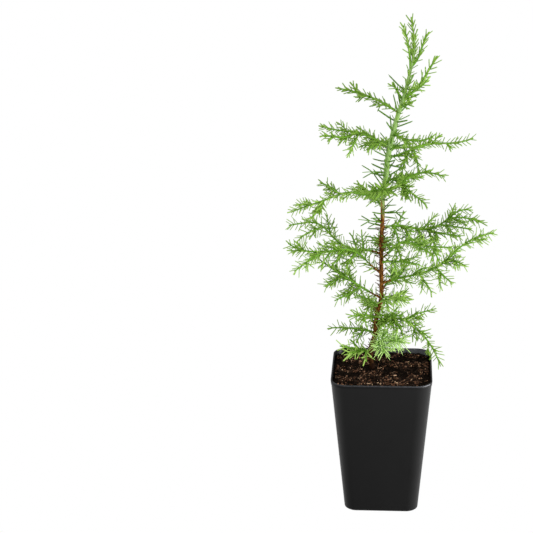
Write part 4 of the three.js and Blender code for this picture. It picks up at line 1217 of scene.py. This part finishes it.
# Each green is one joined mesh, or more where it has more needles than this
MOST_NEEDLES = 8500
for green, sprays in needles.items():
    leaf, tree, output = new_material(f"{green}_cypress_leaf")
    # A waxy leaf: one plain colour to a spray, its gloss broken by a thin bloom
    where = add_node(tree, "ShaderNodeTexCoord", {}).outputs["Object"]
    bloom = add_node(tree, "ShaderNodeTexNoise", {
        "Vector": where, "Scale": 1 / (2.5 * MM), "Detail": 2})
    gloss = add_node(tree, "ShaderNodeMapRange", {
        "Value": bloom.outputs["Fac"], "To Min": 0.42, "To Max": 0.65})
    surface = add_node(tree, "ShaderNodeBsdfPrincipled", {
        "Base Color": linear(LEAF_GREENS[green]), "Roughness": gloss.outputs["Result"],
        "Specular IOR Level": 0.2})
    tree.links.new(surface.outputs["BSDF"], output.inputs["Surface"])
    corners = np.vstack(sprays) * MM
    for part, start in enumerate(range(0, len(corners), MOST_NEEDLES)):
        name = f"needles_{green}_{part + 1}"
        needle_mesh = joined_mesh(name, corners[start:start + MOST_NEEDLES], needle_faces)
        needle_mesh.shade_smooth()
        needle_piece = link_piece(name, needle_mesh, leaf)


# The studio. A white sheet under the pot and soft light from all sides, stronger from the
# upper left, so the plant stands on white with hardly a shadow. A small lamp that lights the
# pot alone puts a glint on its right corner.
SHEET_HALF = 6
# Name, place, width and power of the lamps, all aimed at the plant
LIGHTS = [
    ("key_left", (-1.6, -1.8, 2.2), 1.4, 24),
    ("edge_right", (1.4, -0.5, 0.25), 0.5, 20),
    ("corner_glint", (0.55, -0.14, 0.07), 0.26, 26),
]

sheet = bmesh.new()
bmesh.ops.create_grid(sheet, x_segments=1, y_segments=1, size=SHEET_HALF)
white_sheet, tree, output = new_material("matt_white_sheet")
# It shows an even white, whatever falls on it
surface = add_node(tree, "ShaderNodeBsdfPrincipled", {
    "Base Color": linear("#000000"), "Roughness": 0.9, "Specular IOR Level": 0,
    "Emission Color": linear("#ffffff"), "Emission Strength": 1.0})
tree.links.new(surface.outputs["BSDF"], output.inputs["Surface"])
sheet_mesh = mesh_from(sheet, "white_sheet")
sheet_piece = bpy.data.objects.new("white_sheet", sheet_mesh)
bpy.context.scene.collection.objects.link(sheet_piece)
sheet_mesh.materials.append(white_sheet)
sheet_piece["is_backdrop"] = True

for name, place, size, power in LIGHTS:
    lamp = bpy.data.lights.new(name, "AREA")
    lamp.shape = "DISK"
    lamp.size = size
    lamp.energy = power
    light = bpy.data.objects.new(name, lamp)
    light.location = place
    light.visible_camera = False
    light.rotation_euler = (AIM - Vector(place)).to_track_quat("-Z", "Y").to_euler()
    bpy.context.scene.collection.objects.link(light)
    if name == "corner_glint":
        lit = bpy.data.collections.new("lit_by_corner_glint")
        lit.objects.link(pot)
        light.light_linking.receiver_collection = lit

surroundings = bpy.data.worlds.new("white_studio")
surroundings.use_nodes = True
sky = surroundings.node_tree.nodes["Background"]
sky.inputs["Color"].default_value = (1, 1, 1, 1)
sky.inputs["Strength"].default_value = 1.0
bpy.context.scene.world = surroundings
bpy.context.scene.view_settings.view_transform = "Standard"

low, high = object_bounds()
